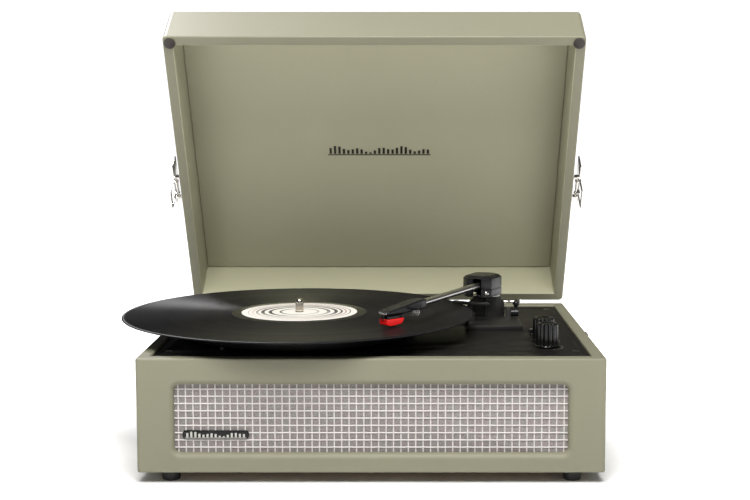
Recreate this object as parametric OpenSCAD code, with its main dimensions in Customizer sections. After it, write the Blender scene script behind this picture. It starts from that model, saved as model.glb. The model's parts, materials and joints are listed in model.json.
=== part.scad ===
// Portable suitcase record player: a covered wooden case with a front grille, a belt-driven
// platter under a plastic deck, a pivoted tonearm, and a lid on two back hinges with side latches.
// The origin is the middle of the case's footprint, on the surface that the feet stand on.
// +X is the player's right, +Y its back and +Z up. The lid is drawn open.

/* [Case] */
// Width of the case, left to right
case_w = 364; // [350:1:440]
// Depth of the case, front to back
case_d = 292; // [286:1:352]
// Height of the case without its feet
case_h = 90; // [86:1:120]
// Thickness of the side walls
side_wall = 10; // [8:0.5:14]
// Thickness of the front and back walls
end_wall = 12; // [10:0.5:15]
// Thickness of the bottom panel
floor_t = 6; // [4:0.5:9]
// Height of the rubber feet
foot_h = 9; // [7:0.5:14]
// Diameter of a foot where it meets the case
foot_d = 16; // [14:0.5:22]
// Distance from the case's sides and ends to a foot's centre, across and along
foot_inset = [24, 16]; // [14:1:40]

/* [Grille] */
// Width of the front opening
opening_w = 306; // [260:1:320]
// Height of the front opening
opening_h = 54; // [50:1:58]
// Height of the grille's rebate above the bottom panel
opening_lift = 3; // [1:0.5:5]
// Corner radius of the front opening
opening_r = 5; // [3:0.5:12]
// Depth of the grille cloth behind the front face
grille_recess = 6; // [3:0.5:7]
// Width of the rebate that holds the baffle, all round the opening
rebate = 6; // [4:0.5:7]
// Thickness of the grille cloth
cloth_t = 0.8; // [0.5:0.1:1.2]
// Outer diameter of a speaker
speaker_d = 66; // [56:1:70]
// Distance from the opening's end to a speaker's centre
speaker_inset = 60; // [40:1:90]

/* [Deck] */
// Depth of the deck's face below the case's rim
deck_recess = 2; // [1:0.5:4]
// Thickness of the deck plate
deck_t = 3; // [2.5:0.5:4]
// Side of the square corner blocks that carry the deck
block = 18; // [14:1:24]

/* [Platter] */
// Spindle's place across the case
spindle_x = -65; // [-80:1:-55]
// Spindle's place along the case
spindle_y = -16; // [-30:1:-12]
// Diameter of the platter
platter_d = 200; // [180:1:230]
// Height of the platter's face above the case's rim
platter_rise = 12.5; // [11:0.5:20]
// Diameter of the ring under the platter that the belt drives
drive_d = 128; // [110:1:134]
// Diameter of the motor pulley
pulley_d = 10; // [8:0.5:14]
// Distance from the spindle to the motor shaft
motor_reach = 80; // [76:0.5:84]
// Diameter of the spindle above the platter
spindle_d = 7.1; // [7:0.05:7.2]
// Height of the spindle above the record
spindle_h = 12; // [8:0.5:16]

/* [Record] */
// Diameter of the record
record_d = 301.6; // [171:0.1:304]
// Thickness of the record
record_t = 1.9; // [1.4:0.1:2.4]
// Diameter of the paper label
label_d = 100; // [80:1:100]
// Thickness of the mat under the record
mat_t = 2; // [1:0.5:3]

/* [Tonearm] */
// Tonearm pivot, to the right of the spindle
pivot_dx = 167; // [166:0.5:170]
// Tonearm pivot, behind the spindle
pivot_dy = 73; // [71:0.5:75]
// Length of the arm from its pivot to the headshell's bend
tube_len = 141; // [137:0.5:145]
// Diameter of the arm tube
tube_d = 6; // [5:0.5:7]
// Distance from the headshell's bend to the stylus
head_len = 36; // [34:0.5:42]
// Bend of the headshell against the tube, in degrees
head_bend = 22; // [18:1:25]
// Swing of the arm in from the straight-ahead rest, in degrees
arm_swing = 26; // [18:0.5:40]
// Height of the arm tube's centre above the record
arm_rise = 15.5; // [15:0.5:22]
// Height of the raised base under the arm, above the deck
base_h = 4; // [3:0.5:6]
// Distance from the pivot to the lift bar
lift_reach = 40; // [36:0.5:41]
// Gap between the lowered lift bar and the arm tube
lift_gap = 9.5; // [6:0.5:10]

/* [Controls] */
// Diameter of a knob's skirt
knob_d = 20; // [18:0.5:24]
// Height of a knob
knob_h = 20; // [14:0.5:24]
// Distance from the case's right side to the knobs
knob_inset = 40; // [30:1:46]
// Distance from the case's front to the front knob
knob_front = 61; // [50:1:66]
// Distance between the two knobs
knob_pitch = 28; // [26:1:32]

/* [Lid] */
// Height of the lid's walls
lid_h = 48; // [46:0.5:70]
// Thickness of the lid's walls
lid_wall = 9; // [7:0.5:10]
// Thickness of the lid's top panel
lid_panel = 5; // [3:0.5:7]
// Angle of the lid above its closed place, in degrees
lid_open = 59; // [45:1:88]
// Gap that the rubber bumpers keep between lid and case
lid_gap = 1.2; // [1:0.1:2]

/* [Hinges and latches] */
// Width of a hinge
hinge_w = 50; // [35:1:70]
// Distance from the case's middle to a hinge's middle
hinge_x = 115; // [80:1:140]
// Height of a hinge leaf
leaf_h = 20; // [12:1:26]
// Radius of the hinge pins
pin_r = 1.1; // [0.9:0.1:1.4]
// Width of a latch lever
latch_w = 40; // [32:1:52]
// Distance of the latches behind the middle of the case
latch_y = 16; // [-20:1:40]

/* [Hidden] */
$fn = 64;

// Colours
cover_green = [0.60, 0.60, 0.48];
black = [0.07, 0.07, 0.07];
dark_grey = [0.16, 0.16, 0.16];
steel = [0.70, 0.70, 0.70];
nickel = [0.78, 0.77, 0.74];
brass = [0.72, 0.58, 0.30];
fibreboard = [0.62, 0.50, 0.36];
cloth_grey = [0.72, 0.69, 0.68];

// Clearances
fit_gap = 0.5;         // panels dropped into the case
run_gap = 0.05;        // radial, shaft in bore
part_gap = 0.3;        // between pieces that pass or nearly touch
eps = 0.01;            // overrun of a cut past a face

// Case
left_x = -case_w / 2;
right_x = case_w / 2;
front_y = -case_d / 2;
back_y = case_d / 2;
case_top = foot_h + case_h;
inner_w = case_w - 2 * side_wall;
inner_d = case_d - 2 * end_wall;
floor_top = foot_h + floor_t;
deck_top = case_top - deck_recess;
deck_bottom = deck_top - deck_t;
block_x = inner_w / 2 - block / 2;
block_ys = [front_y + 44, back_y - 28];
screw_r = 1.4;
screw_head_r = 3;
screw_head_t = 1.8;
foot_xs = [left_x + foot_inset[0], right_x - foot_inset[0]];
foot_ys = [front_y + foot_inset[1], back_y - foot_inset[1]];
foot_screw_r = 1.6;

// Grille and speakers
opening_z = floor_top + rebate + opening_lift + opening_h / 2;
rebate_t = end_wall - grille_recess;
speaker_xs = [-opening_w / 2 + speaker_inset, opening_w / 2 - speaker_inset];
speaker_hole_r = speaker_d / 2 - 6;
baffle_back_y = front_y + end_wall;
magnet_r = 20;

// Platter stack
platter_top = case_top + platter_rise;
mat_top = platter_top + mat_t;
record_top = mat_top + record_t;
shaft_r = 3;
bush_r = 5;
shaft_end = deck_bottom - 14;
web_t = 2.5;
motor_angle = 225;
motor_xy = [spindle_x + motor_reach * cos(motor_angle), spindle_y + motor_reach * sin(motor_angle)];
belt_t = 0.7;
belt_z = [platter_top - 9, platter_top - 5];
motor_flange_r = 26;
motor_hole_r = 21;
grommet_t = 3;
hole_clear_r = 3.62;   // a record's centre hole
groove = [0.2, 1];     // groove round the spindle, from and to these heights above the record

// Tonearm
pivot = [spindle_x + pivot_dx, spindle_y + pivot_dy];
arm_z = record_top + arm_rise;
base_top = deck_top + base_h;
post_top = base_top + 17.5;
cap_z = [post_top + 2, arm_z + 8.6];
lift_top = arm_z - tube_d / 2 - lift_gap;
lift_angle = 26;       // middle of the lift bar's arc, in from straight ahead
lift_t = 2.4;
lever_axis = [pivot[1] - 12, base_top + 4];

// Controls
knob_x = right_x - knob_inset;
knob_ys = [front_y + knob_front, front_y + knob_front + knob_pitch];
pot_shaft_r = 3;
switch_xy = [pivot[0] + 33.5, pivot[1] - 81];
switch_slot = [3, 18];

// Back panel
jack_plate_w = 112;
jack_plate_h = 36;
jack_plate_t = 2;
jack_x = 30;
jack_z = floor_top + 32;
rca_xs = [jack_x - 40, jack_x - 18];
aux_x = jack_x + 8;
power_x = jack_x + 36;
jack_back = back_y + jack_plate_t;

// Lid and its hinges
hinge_y = back_y + 1.5;
hinge_z = case_top + lid_gap / 2;
rim_z = case_top + lid_gap;
knuckle_r = pin_r + 1.3;
leaf_t = 1.2;
knuckles = 5;

// Latch, as offsets out from the case's side and up from the lid's rim
latch_plate_t = 1;
latch_axis = [4.4, 9];
latch_pin_r = 1.1;
bail_axis = [2.6, -1.6];   // from the lever's axis
bail_r = 0.8;
bail_len = 19;
ear_a = [10, 12.2];
cheek_a = [5.8, 7.4];

// ---- helpers ----

// Rectangle w x h with corner radius r, centred
module round_rect(w, h, r) {
    square([w - 2 * r, h], center = true);
    square([w, h - 2 * r], center = true);
    for (x = [-1, 1], y = [-1, 1])
        translate([x * (w / 2 - r), y * (h / 2 - r)]) circle(r);
}

// Slab standing on its edge: a round-cornered rectangle w x h centred on (x, z), from y to y + t
module upright_slab(x, z, w, h, r, y, t)
    translate([x, y + t, z]) rotate([90, 0, 0]) linear_extrude(t) round_rect(w, h, r);

// Cylinder along +Y from y, centred on (x, z)
module bar_y(x, z, r, y, length)
    translate([x, y, z]) rotate([-90, 0, 0]) cylinder(r = r, h = length);

// Cylinder along +X from x, centred on (y, z)
module bar_x(y, z, r, x, length)
    translate([x, y, z]) rotate([0, 90, 0]) cylinder(r = r, h = length);

// Box from its lowest corner to its highest
module box(low, high) translate(low) cube(high - low);

// Belt outline: circle R at the origin and circle r at distance c, with their outer tangents
module belt_outline(R, r, c) {
    a = acos((R - r) / c);
    circle(R, $fn = 180);
    translate([c, 0]) circle(r);
    polygon([
        [R * cos(a), R * sin(a)], [c + r * cos(a), r * sin(a)],
        [c + r * cos(a), -r * sin(a)], [R * cos(a), -R * sin(a)],
    ]);
}

// Moves what is drawn in the lid's closed place to the open place
module opened()
    translate([0, hinge_y, hinge_z]) rotate([-lid_open, 0, 0]) translate([0, -hinge_y, -hinge_z]) children();

// Draws on the right side and mirrors to the left
module both_sides() {
    children();
    mirror([1, 0, 0]) children();
}

// Arm frame: origin on the pivot axis at the tube's height, tube along -Y
module arm_frame() translate([pivot[0], pivot[1], arm_z]) rotate([0, 0, -arm_swing]) children();

// Head frame: origin at the headshell's bend, cartridge along -Y
module head_frame() arm_frame() translate([0, -tube_len, 0]) rotate([0, 0, -head_bend]) children();

// Latch frame: X out from the side of the case, Y along it, Z up from the closed lid's rim
module latch_frame() translate([right_x, latch_y, rim_z]) children();

// Screw pointing down, the top of its head at the origin, with a cross recess
module screw(r, length, head_r, head_t)
    difference() {
        union() {
            translate([0, 0, -head_t]) cylinder(r = head_r, h = head_t);
            translate([0, 0, -length]) cylinder(r = r, h = length - head_t / 2);
        }
        for (a = [0, 90])
            rotate([0, 0, a]) translate([0, 0, -head_t / 4]) cube([head_r * 1.2, 0.7, head_t / 2 + eps], center = true);
    }

// ---- case ----

module case_shell()
    color(cover_green) difference() {
        box([left_x, front_y, foot_h], [right_x, back_y, case_top]);
        box([-inner_w / 2, front_y + end_wall, foot_h - 1], [inner_w / 2, back_y - end_wall, case_top + 1]);
        upright_slab(0, opening_z, opening_w, opening_h, opening_r, front_y - 1, end_wall + 2);
        upright_slab(0, opening_z, opening_w + 2 * rebate, opening_h + 2 * rebate, 2,
            front_y + grille_recess, rebate_t + 1);
        upright_slab(jack_x, jack_z, jack_plate_w - 14, jack_plate_h - 12, 3, back_y - end_wall - 1, end_wall + 2);
        hinge_notches();
    }

module bottom_panel()
    color(fibreboard) difference() {
        box([-inner_w / 2 + fit_gap / 2, front_y + end_wall + fit_gap / 2, foot_h],
            [inner_w / 2 - fit_gap / 2, back_y - end_wall - fit_gap / 2, floor_top]);
        for (x = foot_xs, y = foot_ys)
            translate([x, y, foot_h - 1]) cylinder(r = foot_screw_r, h = floor_t + 2);
    }

module feet()
    color(black) for (x = foot_xs, y = foot_ys) translate([x, y, 0]) difference() {
        cylinder(r1 = foot_d / 2 - 1.2, r2 = foot_d / 2, h = foot_h);
        translate([0, 0, -1]) cylinder(r = screw_head_r + 0.4, h = foot_h / 2 + 1);
        cylinder(r = foot_screw_r, h = foot_h + 1);
    }

module foot_screws()
    color(steel) for (x = foot_xs, y = foot_ys)
        translate([x, y, foot_h / 2 - screw_head_t])
            mirror([0, 0, 1]) screw(foot_screw_r, screw_head_t + foot_h / 2 + floor_t - 0.5, screw_head_r, screw_head_t);

module corner_blocks()
    color(fibreboard) for (side = [-1, 1], y = block_ys) difference() {
        translate([side * block_x, y, (floor_top + deck_bottom) / 2])
            cube([block, block, deck_bottom - floor_top], center = true);
        translate([side * block_x, y, deck_bottom - 14]) cylinder(r = screw_r, h = 15);
    }

// ---- grille and speakers ----

module grille_cloth()
    color(cloth_grey) upright_slab(0, opening_z, opening_w + 2 * rebate - fit_gap,
        opening_h + 2 * rebate - fit_gap, 2, front_y + grille_recess, cloth_t);

module baffle_board()
    color(fibreboard) difference() {
        upright_slab(0, opening_z, opening_w + 2 * rebate - fit_gap, opening_h + 2 * rebate - fit_gap, 2,
            front_y + grille_recess + cloth_t, rebate_t - cloth_t);
        for (x = speaker_xs) bar_y(x, opening_z, speaker_hole_r, front_y, end_wall + 1);
    }

module grille_badge()
    color(nickel) upright_slab(-opening_w / 2 + 32, opening_z - opening_h / 2 + 14, 52, 7, 3,
        front_y + grille_recess - 2, 2);

module speaker_baskets()
    color(steel) for (x = speaker_xs) translate([x, baffle_back_y, opening_z]) rotate([-90, 0, 0]) difference() {
        rotate_extrude() polygon([
            [speaker_hole_r, 0], [speaker_d / 2, 0], [speaker_d / 2, 1.5], [speaker_hole_r + 1.6, 1.5],
            [magnet_r - 1, 14], [magnet_r - 1, 16], [0, 16], [0, 14.5], [magnet_r - 3, 14.5], [magnet_r - 3, 13.6],
            [speaker_hole_r, 1],
        ]);
        for (a = [0 : 90 : 270]) rotate([0, 0, a + 45])
            translate([speaker_hole_r - 2, 0, 8]) cube([16, 12, 7], center = true);
    }

module speaker_magnets()
    color(dark_grey) for (x = speaker_xs) bar_y(x, opening_z, magnet_r, baffle_back_y + 16, 12);

module speaker_cones()
    color(black) for (x = speaker_xs) translate([x, baffle_back_y, opening_z]) rotate([-90, 0, 0]) rotate_extrude() polygon([
        [speaker_hole_r, -1], [speaker_hole_r, 0], [speaker_hole_r - 3, 0.6], [7, 10], [0, 7],
        [0, 6], [6.5, 9], [speaker_hole_r - 4, -0.6],
    ]);

// ---- deck ----

module deck_plate()
    color(black) difference() {
        box([-inner_w / 2 + fit_gap, front_y + end_wall + fit_gap, deck_bottom],
            [inner_w / 2 - fit_gap, back_y - end_wall - fit_gap, deck_top]);
        for (side = [-1, 1], y = block_ys) translate([side * block_x, y, 0]) {
            cylinder(r = screw_r, h = case_top);
            translate([0, 0, deck_top - screw_head_t]) cylinder(r = screw_head_r, h = deck_recess + screw_head_t);
        }
        translate([spindle_x, spindle_y, 0]) cylinder(r = bush_r, h = case_top);
        translate([motor_xy[0], motor_xy[1], 0]) cylinder(r = 6, h = case_top);
        motor_fixings() cylinder(r = screw_r, h = case_top);
        for (y = knob_ys) translate([knob_x, y, 0]) cylinder(r = pot_shaft_r + 1.5, h = case_top);
        translate([switch_xy[0], switch_xy[1], deck_top]) cube([switch_slot[0], switch_slot[1], 20], center = true);
        lift_place() cylinder(r = 3, h = case_top);
        translate([pivot[0], pivot[1], 0]) cylinder(r = 3, h = case_top);
    }

module deck_screws()
    color(steel) for (side = [-1, 1], y = block_ys)
        translate([side * block_x, y, deck_top]) screw(screw_r, 15, screw_head_r, screw_head_t);

module bearing_bush()
    color(brass) translate([spindle_x, spindle_y, 0]) difference() {
        union() {
            translate([0, 0, shaft_end - 3]) cylinder(r = bush_r, h = deck_top - shaft_end + 3);
            translate([0, 0, deck_top]) cylinder(r = bush_r + 2.5, h = 1);
        }
        translate([0, 0, shaft_end - part_gap]) cylinder(r = shaft_r + run_gap, h = 60);
    }

// ---- platter, belt and motor ----

module platter()
    color(dark_grey) translate([spindle_x, spindle_y, 0]) rotate_extrude($fn = 180) polygon([
        [shaft_r, deck_top + 3], [11, deck_top + 3], [11, platter_top - web_t],
        [drive_d / 2 - 3, platter_top - web_t], [drive_d / 2 - 3, platter_top - 10.5],
        [drive_d / 2, platter_top - 10.5], [drive_d / 2, platter_top - web_t],
        [platter_d / 2 - 3, platter_top - web_t], [platter_d / 2 - 3, deck_top + 2.5],
        [platter_d / 2, deck_top + 2.5], [platter_d / 2, platter_top - 1], [platter_d / 2 - 1, platter_top],
        [shaft_r, platter_top],
    ]);

module disc(r, hole, z, t)
    translate([spindle_x, spindle_y, z]) difference() {
        cylinder(r = r, h = t, $fn = 180);
        translate([0, 0, -1]) cylinder(r = hole, h = t + 2);
    }

module platter_mat() color(dark_grey) disc(platter_d / 2 - 2, hole_clear_r + 0.4, platter_top, mat_t);

module spindle()
    color(steel) translate([spindle_x, spindle_y, 0]) {
        translate([0, 0, shaft_end]) cylinder(r = shaft_r, h = platter_top - shaft_end);
        translate([0, 0, platter_top]) cylinder(r = spindle_d / 2, h = mat_t + record_t + groove[0]);
        translate([0, 0, platter_top]) cylinder(r = spindle_d / 2 - 0.4, h = mat_t + record_t + groove[1]);
        translate([0, 0, record_top + groove[1]]) cylinder(r = spindle_d / 2, h = spindle_h - spindle_d / 2 - groove[1]);
        translate([0, 0, record_top + spindle_h - spindle_d / 2]) sphere(r = spindle_d / 2);
    }

module record()
    color(black) translate([spindle_x, spindle_y, mat_top]) difference() {
        rotate_extrude($fn = 180) polygon([
            [hole_clear_r, 0], [record_d / 2 - 2, 0], [record_d / 2 - 0.4, 0.3], [record_d / 2, record_t / 2],
            [record_d / 2 - 0.4, record_t - 0.3], [record_d / 2 - 2, record_t], [hole_clear_r, record_t],
        ]);
        translate([0, 0, record_t - 0.2]) cylinder(r = label_d / 2, h = 1, $fn = 180);
    }

module record_label() color([0.92, 0.90, 0.86]) disc(label_d / 2, hole_clear_r, record_top - 0.2, 0.25);

module drive_belt()
    color(black) translate([spindle_x, spindle_y, belt_z[0]]) rotate([0, 0, motor_angle])
        linear_extrude(belt_z[1] - belt_z[0]) difference() {
            belt_outline(drive_d / 2 + part_gap + belt_t, pulley_d / 2 + part_gap + belt_t, motor_reach);
            belt_outline(drive_d / 2 + part_gap, pulley_d / 2 + part_gap, motor_reach);
        }

// Places the three motor fixings round the motor shaft
module motor_fixings()
    for (a = [30 : 120 : 270])
        translate([motor_xy[0] + motor_hole_r * cos(a), motor_xy[1] + motor_hole_r * sin(a), 0]) children();

module motor_body()
    color(steel) difference() {
        translate([motor_xy[0], motor_xy[1], 0]) {
            translate([0, 0, deck_bottom - grommet_t - 1.5]) cylinder(r = motor_flange_r, h = 1.5);
            translate([0, 0, deck_bottom - grommet_t - 26]) cylinder(r = 18, h = 25);
            translate([0, 0, deck_bottom - grommet_t - 1]) cylinder(r = 5, h = 2.5);
        }
        motor_fixings() cylinder(r = screw_r, h = case_top);
        translate([motor_xy[0], motor_xy[1], deck_bottom - 12]) cylinder(r = 1 + run_gap, h = 20);
    }

module motor_grommets()
    color(black) motor_fixings() translate([0, 0, deck_bottom - grommet_t]) difference() {
        cylinder(r = 4.5, h = grommet_t);
        translate([0, 0, -1]) cylinder(r = screw_r, h = grommet_t + 2);
    }

module motor_screws()
    color(steel) motor_fixings() translate([0, 0, deck_top + 1.6]) screw(screw_r, 12, screw_head_r - 0.4, 1.6);

module motor_pulley()
    color(brass) translate([motor_xy[0], motor_xy[1], 0]) {
        translate([0, 0, deck_bottom - 11]) cylinder(r = 1, h = belt_z[0] - deck_bottom + 11);
        translate([0, 0, belt_z[0] - 1.5]) cylinder(r = pulley_d / 2 + 1.2, h = 1);
        translate([0, 0, belt_z[0] - 0.5]) cylinder(r = pulley_d / 2, h = belt_z[1] - belt_z[0] + 1);
    }

// ---- tonearm ----

// Outline of the raised base, from the pivot
base_outline = [[-22, -62], [27.5, -62], [27.5, 12], [-14, 12]];
lug_x = [pivot[0] + 16.5, pivot[0] + 20.5];

module lift_place()
    translate([pivot[0] - lift_reach * sin(lift_angle), pivot[1] - lift_reach * cos(lift_angle), 0]) children();

module tonearm_base()
    color(dark_grey) difference() {
        union() {
            translate([pivot[0], pivot[1], deck_top]) linear_extrude(base_h) polygon(base_outline);
            lift_place() translate([0, 0, deck_top]) cylinder(r = 4.2, h = base_h + 8);
            box([lug_x[0], lever_axis[0] - 4, deck_top], [lug_x[1], lever_axis[0] + 4, lever_axis[1] + 4]);
        }
        lift_place() cylinder(r = 1.8 + run_gap, h = case_top + 40);
        bar_x(lever_axis[0], lever_axis[1], 2 + run_gap, lug_x[0] - 1, 10);
        translate([pivot[0], pivot[1], deck_top - 1]) cylinder(r = 3, h = base_h + 2);
    }

module tonearm_post()
    color(dark_grey) translate([pivot[0], pivot[1], 0]) difference() {
        union() {
            box([-2.8, -8, base_top], [12, 6, post_top]);
            translate([0, 5, 0]) rotate([90, 0, 0]) linear_extrude(8) polygon([
                [-19, base_top], [15.5, base_top], [15.5, post_top - 5], [11, post_top], [-12, post_top],
                [-18.5, post_top - 8],
            ]);
        }
        translate([0, 0, base_top - 1]) cylinder(r = 2.5 + run_gap, h = post_top);
    }

module arm_yoke()
    color(steel) translate([pivot[0], pivot[1], 0]) rotate([0, 0, -arm_swing]) difference() {
        union() {
            translate([0, 0, base_top + 2]) cylinder(r = 2.5, h = post_top - base_top);
            translate([0, 0, post_top + part_gap]) cylinder(r = 11.5, h = 2 - part_gap);
            for (side = [-1, 1])
                translate([side * 8.2, 0, (post_top + 2 + cap_z[1] - cap_t) / 2])
                    cube([2, 10, cap_z[1] - cap_t - post_top - 2], center = true);
        }
        bar_x(0, arm_z, 1.2, -12, 24);
    }

// Eight-sided cap outline with its long axis along the arm
cap_outline = [
    [-9.4, -25], [4.6, -25], [11.6, -18], [11.6, 6], [5.6, 12], [-10.4, 12], [-16.4, 6], [-16.4, -18],
];
cap_mid = [-2.4, -6.5];
cap_t = 1.6;

module pivot_cap()
    color(black) translate([pivot[0], pivot[1], 0]) rotate([0, 0, -arm_swing]) difference() {
        translate([0, 0, cap_z[0]]) linear_extrude(cap_z[1] - cap_z[0]) polygon(cap_outline);
        translate([0, 0, cap_z[0] - 1]) linear_extrude(cap_z[1] - cap_z[0] + 1 - cap_t)
            polygon([for (p = cap_outline) [for (k = [0, 1]) cap_mid[k] + (p[k] - cap_mid[k]) * 0.9]]);
        box([-tube_d / 2 - 1, -27, cap_z[0] - 1], [tube_d / 2 + 1, -15, arm_z + tube_d / 2 + 2.6]);
    }

module pivot_pin() color(steel) arm_frame() bar_x(0, 0, 1.2, -9.2, 18.4);

module arm_block()
    color(dark_grey) arm_frame() difference() {
        box([-6, -6, -5.5], [6, 6, 5.5]);
        bar_x(0, 0, 1.2 + run_gap, -7, 14);
        bar_y(0, 0, tube_d / 2, -7, 5);
    }

module arm_tube()
    color(steel) arm_frame() difference() {
        bar_y(0, 0, tube_d / 2, -tube_len, tube_len - 2);
        bar_y(0, 0, tube_d / 2 - 0.6, -tube_len - 1, tube_len);
    }

cart_low = -arm_rise + 4.8;    // underside of the cartridge body, from the tube's centre
cart_high = cart_low + 5;

module headshell()
    color(black) difference() {
        head_frame() {
            rotate([0, 0, head_bend]) bar_y(0, 0, tube_d / 2 + 1, 0, 4);
            translate([-6.5, 0, 0]) rotate([90, 0, 90]) linear_extrude(13) polygon([
                [4, -4], [4, 4], [-5, 4.2], [-20, 1.5], [-head_len - 6, -2.4], [-head_len - 6, cart_high],
                [-head_len + 11, cart_high], [-12, -4],
            ]);
            box([6.4, -head_len + 6, cart_high + 1], [17, -head_len + 12, cart_high + 2.2]);
        }
        arm_frame() bar_y(0, 0, tube_d / 2, -tube_len, 30);
    }

module cartridge()
    color([0.75, 0.75, 0.75]) head_frame() box([-5.2, -head_len - 5.5, cart_low], [5.2, -head_len + 11, cart_high]);

module stylus()
    color([0.85, 0.05, 0.05]) head_frame() {
        translate([-4.7, 0, 0]) rotate([90, 0, 90]) linear_extrude(9.4) polygon([
            [-head_len - 5.5, cart_low], [-head_len - 5.5, cart_low - 2.8], [-head_len - 3, cart_low - 4],
            [-head_len + 9, cart_low - 4], [-head_len + 11, cart_low],
        ]);
        translate([0, -head_len, -arm_rise + 0.25]) cylinder(r1 = 0.15, r2 = 0.5, h = 0.7);
    }

module lift_bar()
    color(black) {
        translate([pivot[0], pivot[1], lift_top - lift_t]) rotate([0, 0, -90 - lift_angle - 25])
            rotate_extrude(angle = 50, $fn = 96) translate([lift_reach - 2.3, 0]) square([4.6, lift_t]);
        lift_place() translate([0, 0, deck_bottom - 4]) cylinder(r = 1.8, h = lift_top - lift_t / 2 - deck_bottom + 4);
    }

module cue_lever()
    color(black) {
        bar_x(lever_axis[0], lever_axis[1], 2, lug_x[0] + 0.5, lug_x[1] - lug_x[0]);
        bar_x(lever_axis[0], lever_axis[1], 3.6, lug_x[1] + part_gap, 6.6);
        translate([lug_x[1] + 5, lever_axis[0], lever_axis[1]]) {
            cylinder(r = 1.6, h = 8);
            translate([0, 0, 8.4]) sphere(r = 3);
        }
    }

// ---- controls ----

module knob(y)
    color(black) translate([knob_x, y, deck_top + 0.5]) difference() {
        union() {
            cylinder(r = knob_d / 2, h = 1.6);
            cylinder(r = knob_d / 2 - 1.6, h = knob_h - 0.5);
            for (a = [0 : 30 : 330]) rotate([0, 0, a]) translate([knob_d / 2 - 1.7, 0, 0])
                cylinder(r = 1.1, h = knob_h - 1.5);
        }
        translate([0, 0, -1]) cylinder(r = pot_shaft_r + run_gap, h = knob_h - 5);
    }

// Potentiometer: a body under the deck, a threaded bush through it and the shaft that the knob turns on
module pots()
    color(steel) for (y = knob_ys) translate([knob_x, y, 0]) {
        translate([-8, -8, deck_bottom - 9]) cube([16, 16, 9]);
        translate([0, 0, deck_bottom - 1]) cylinder(r = pot_shaft_r + 1.5, h = deck_t + 1);
        translate([0, 0, deck_bottom - 1]) cylinder(r = pot_shaft_r, h = knob_h - 3);
    }

module speed_switch()
    color(steel) translate([switch_xy[0], switch_xy[1], deck_bottom - 4]) cube([12, 28, 8], center = true);

module speed_slider()
    color(black) translate([switch_xy[0], switch_xy[1], 0]) {
        translate([0, 0, deck_top + 2.8]) cube([5, 6, 4], center = true);
        translate([0, 0, (deck_bottom + deck_top) / 2 + 0.6]) cube([2.4, 4, deck_t + 1], center = true);
    }

module amplifier_board() {
    board_x = knob_x - 62;
    board_y = back_y - end_wall - 34;
    color([0.10, 0.35, 0.18]) difference() {
        union() {
            box([board_x - 46, board_y - 28, floor_top + 8], [board_x + 46, board_y + 24, floor_top + 9.6]);
            for (x = [-41, 41], y = [-23, 19])
                translate([board_x + x, board_y + y, floor_top]) cylinder(r = 3, h = 8.5);
            for (x = [-30, -14]) translate([board_x + x, board_y - 12, floor_top + 9]) cylinder(r = 5, h = 13);
            box([board_x + 6, board_y - 18, floor_top + 9], [board_x + 30, board_y - 8, floor_top + 26]);
        }
        for (x = [-41, 41], y = [-23, 19])
            translate([board_x + x, board_y + y, floor_top - 1]) cylinder(r = 1.2, h = 14);
    }
}

// ---- back panel ----

module jack_plate()
    color(black) difference() {
        upright_slab(jack_x, jack_z, jack_plate_w, jack_plate_h, 4, back_y, jack_plate_t);
        for (x = rca_xs) bar_y(x, jack_z, 4.2, back_y - 1, 5);
        bar_y(aux_x, jack_z, 4, back_y - 1, 5);
        bar_y(power_x, jack_z, 5, back_y - 1, 5);
        for (side = [-1, 1])
            bar_y(jack_x + side * (jack_plate_w / 2 - 3.5), jack_z, screw_r, back_y - 1, 5);
    }

// Jack: a barrel from inside the plate to the given height behind it, bored from the back
module jack(x, outer_r, bore_r, stand, depth)
    difference() {
        bar_y(x, jack_z, outer_r, back_y - 8, 8 + jack_plate_t + stand);
        bar_y(x, jack_z, bore_r, jack_back + stand - depth, depth + 1);
    }

module rca_jacks() color(steel) for (x = rca_xs) jack(x, 4.2, 1.6, 8, 9);

module aux_jack() color(dark_grey) jack(aux_x, 4, 1.8, 1, 9);

module power_jack()
    color(dark_grey) {
        jack(power_x, 5, 2.8, 0.6, 8);
        bar_y(power_x, jack_z, 1, jack_back - 8, 7);
    }

// ---- hinges ----

// Room for the knuckles in the case's and the lid's back edges
module hinge_notches()
    for (side = [-1, 1])
        bar_x(hinge_y, hinge_z, knuckle_r + part_gap, side * hinge_x - hinge_w / 2 - 1, hinge_w + 2);

// Hinge leaf in the closed place, going down (-1) or up (1) from the pin, with every second knuckle
module hinge_leaf(way, first, bore_r)
    difference() {
        step = hinge_w / knuckles;
        reach = knuckle_r + part_gap;
        union() {
            low = way < 0 ? hinge_z - leaf_h : hinge_z + reach;
            box([-hinge_w / 2, back_y, low], [hinge_w / 2, back_y + leaf_t, low + leaf_h - reach]);
            for (k = [first : 2 : knuckles - 1]) {
                x = -hinge_w / 2 + k * step + 0.15;
                bar_x(hinge_y, hinge_z, knuckle_r, x, step - 0.3);
                box([x, back_y, way < 0 ? hinge_z - reach - 0.5 : hinge_z],
                    [x + step - 0.3, back_y + leaf_t, way < 0 ? hinge_z : hinge_z + reach + 0.5]);
            }
        }
        bar_x(hinge_y, hinge_z, bore_r, -hinge_w, 2 * hinge_w);
    }

module at_hinges() for (side = [-1, 1]) translate([side * hinge_x, 0, 0]) children();

module hinge_case_leaves() color(nickel) at_hinges() hinge_leaf(-1, 0, pin_r);

module hinge_lid_leaves() color(nickel) opened() at_hinges() hinge_leaf(1, 1, pin_r + run_gap);

module hinge_pins() color(nickel) at_hinges() bar_x(hinge_y, hinge_z, pin_r, -hinge_w / 2, hinge_w);

// ---- lid ----

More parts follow.
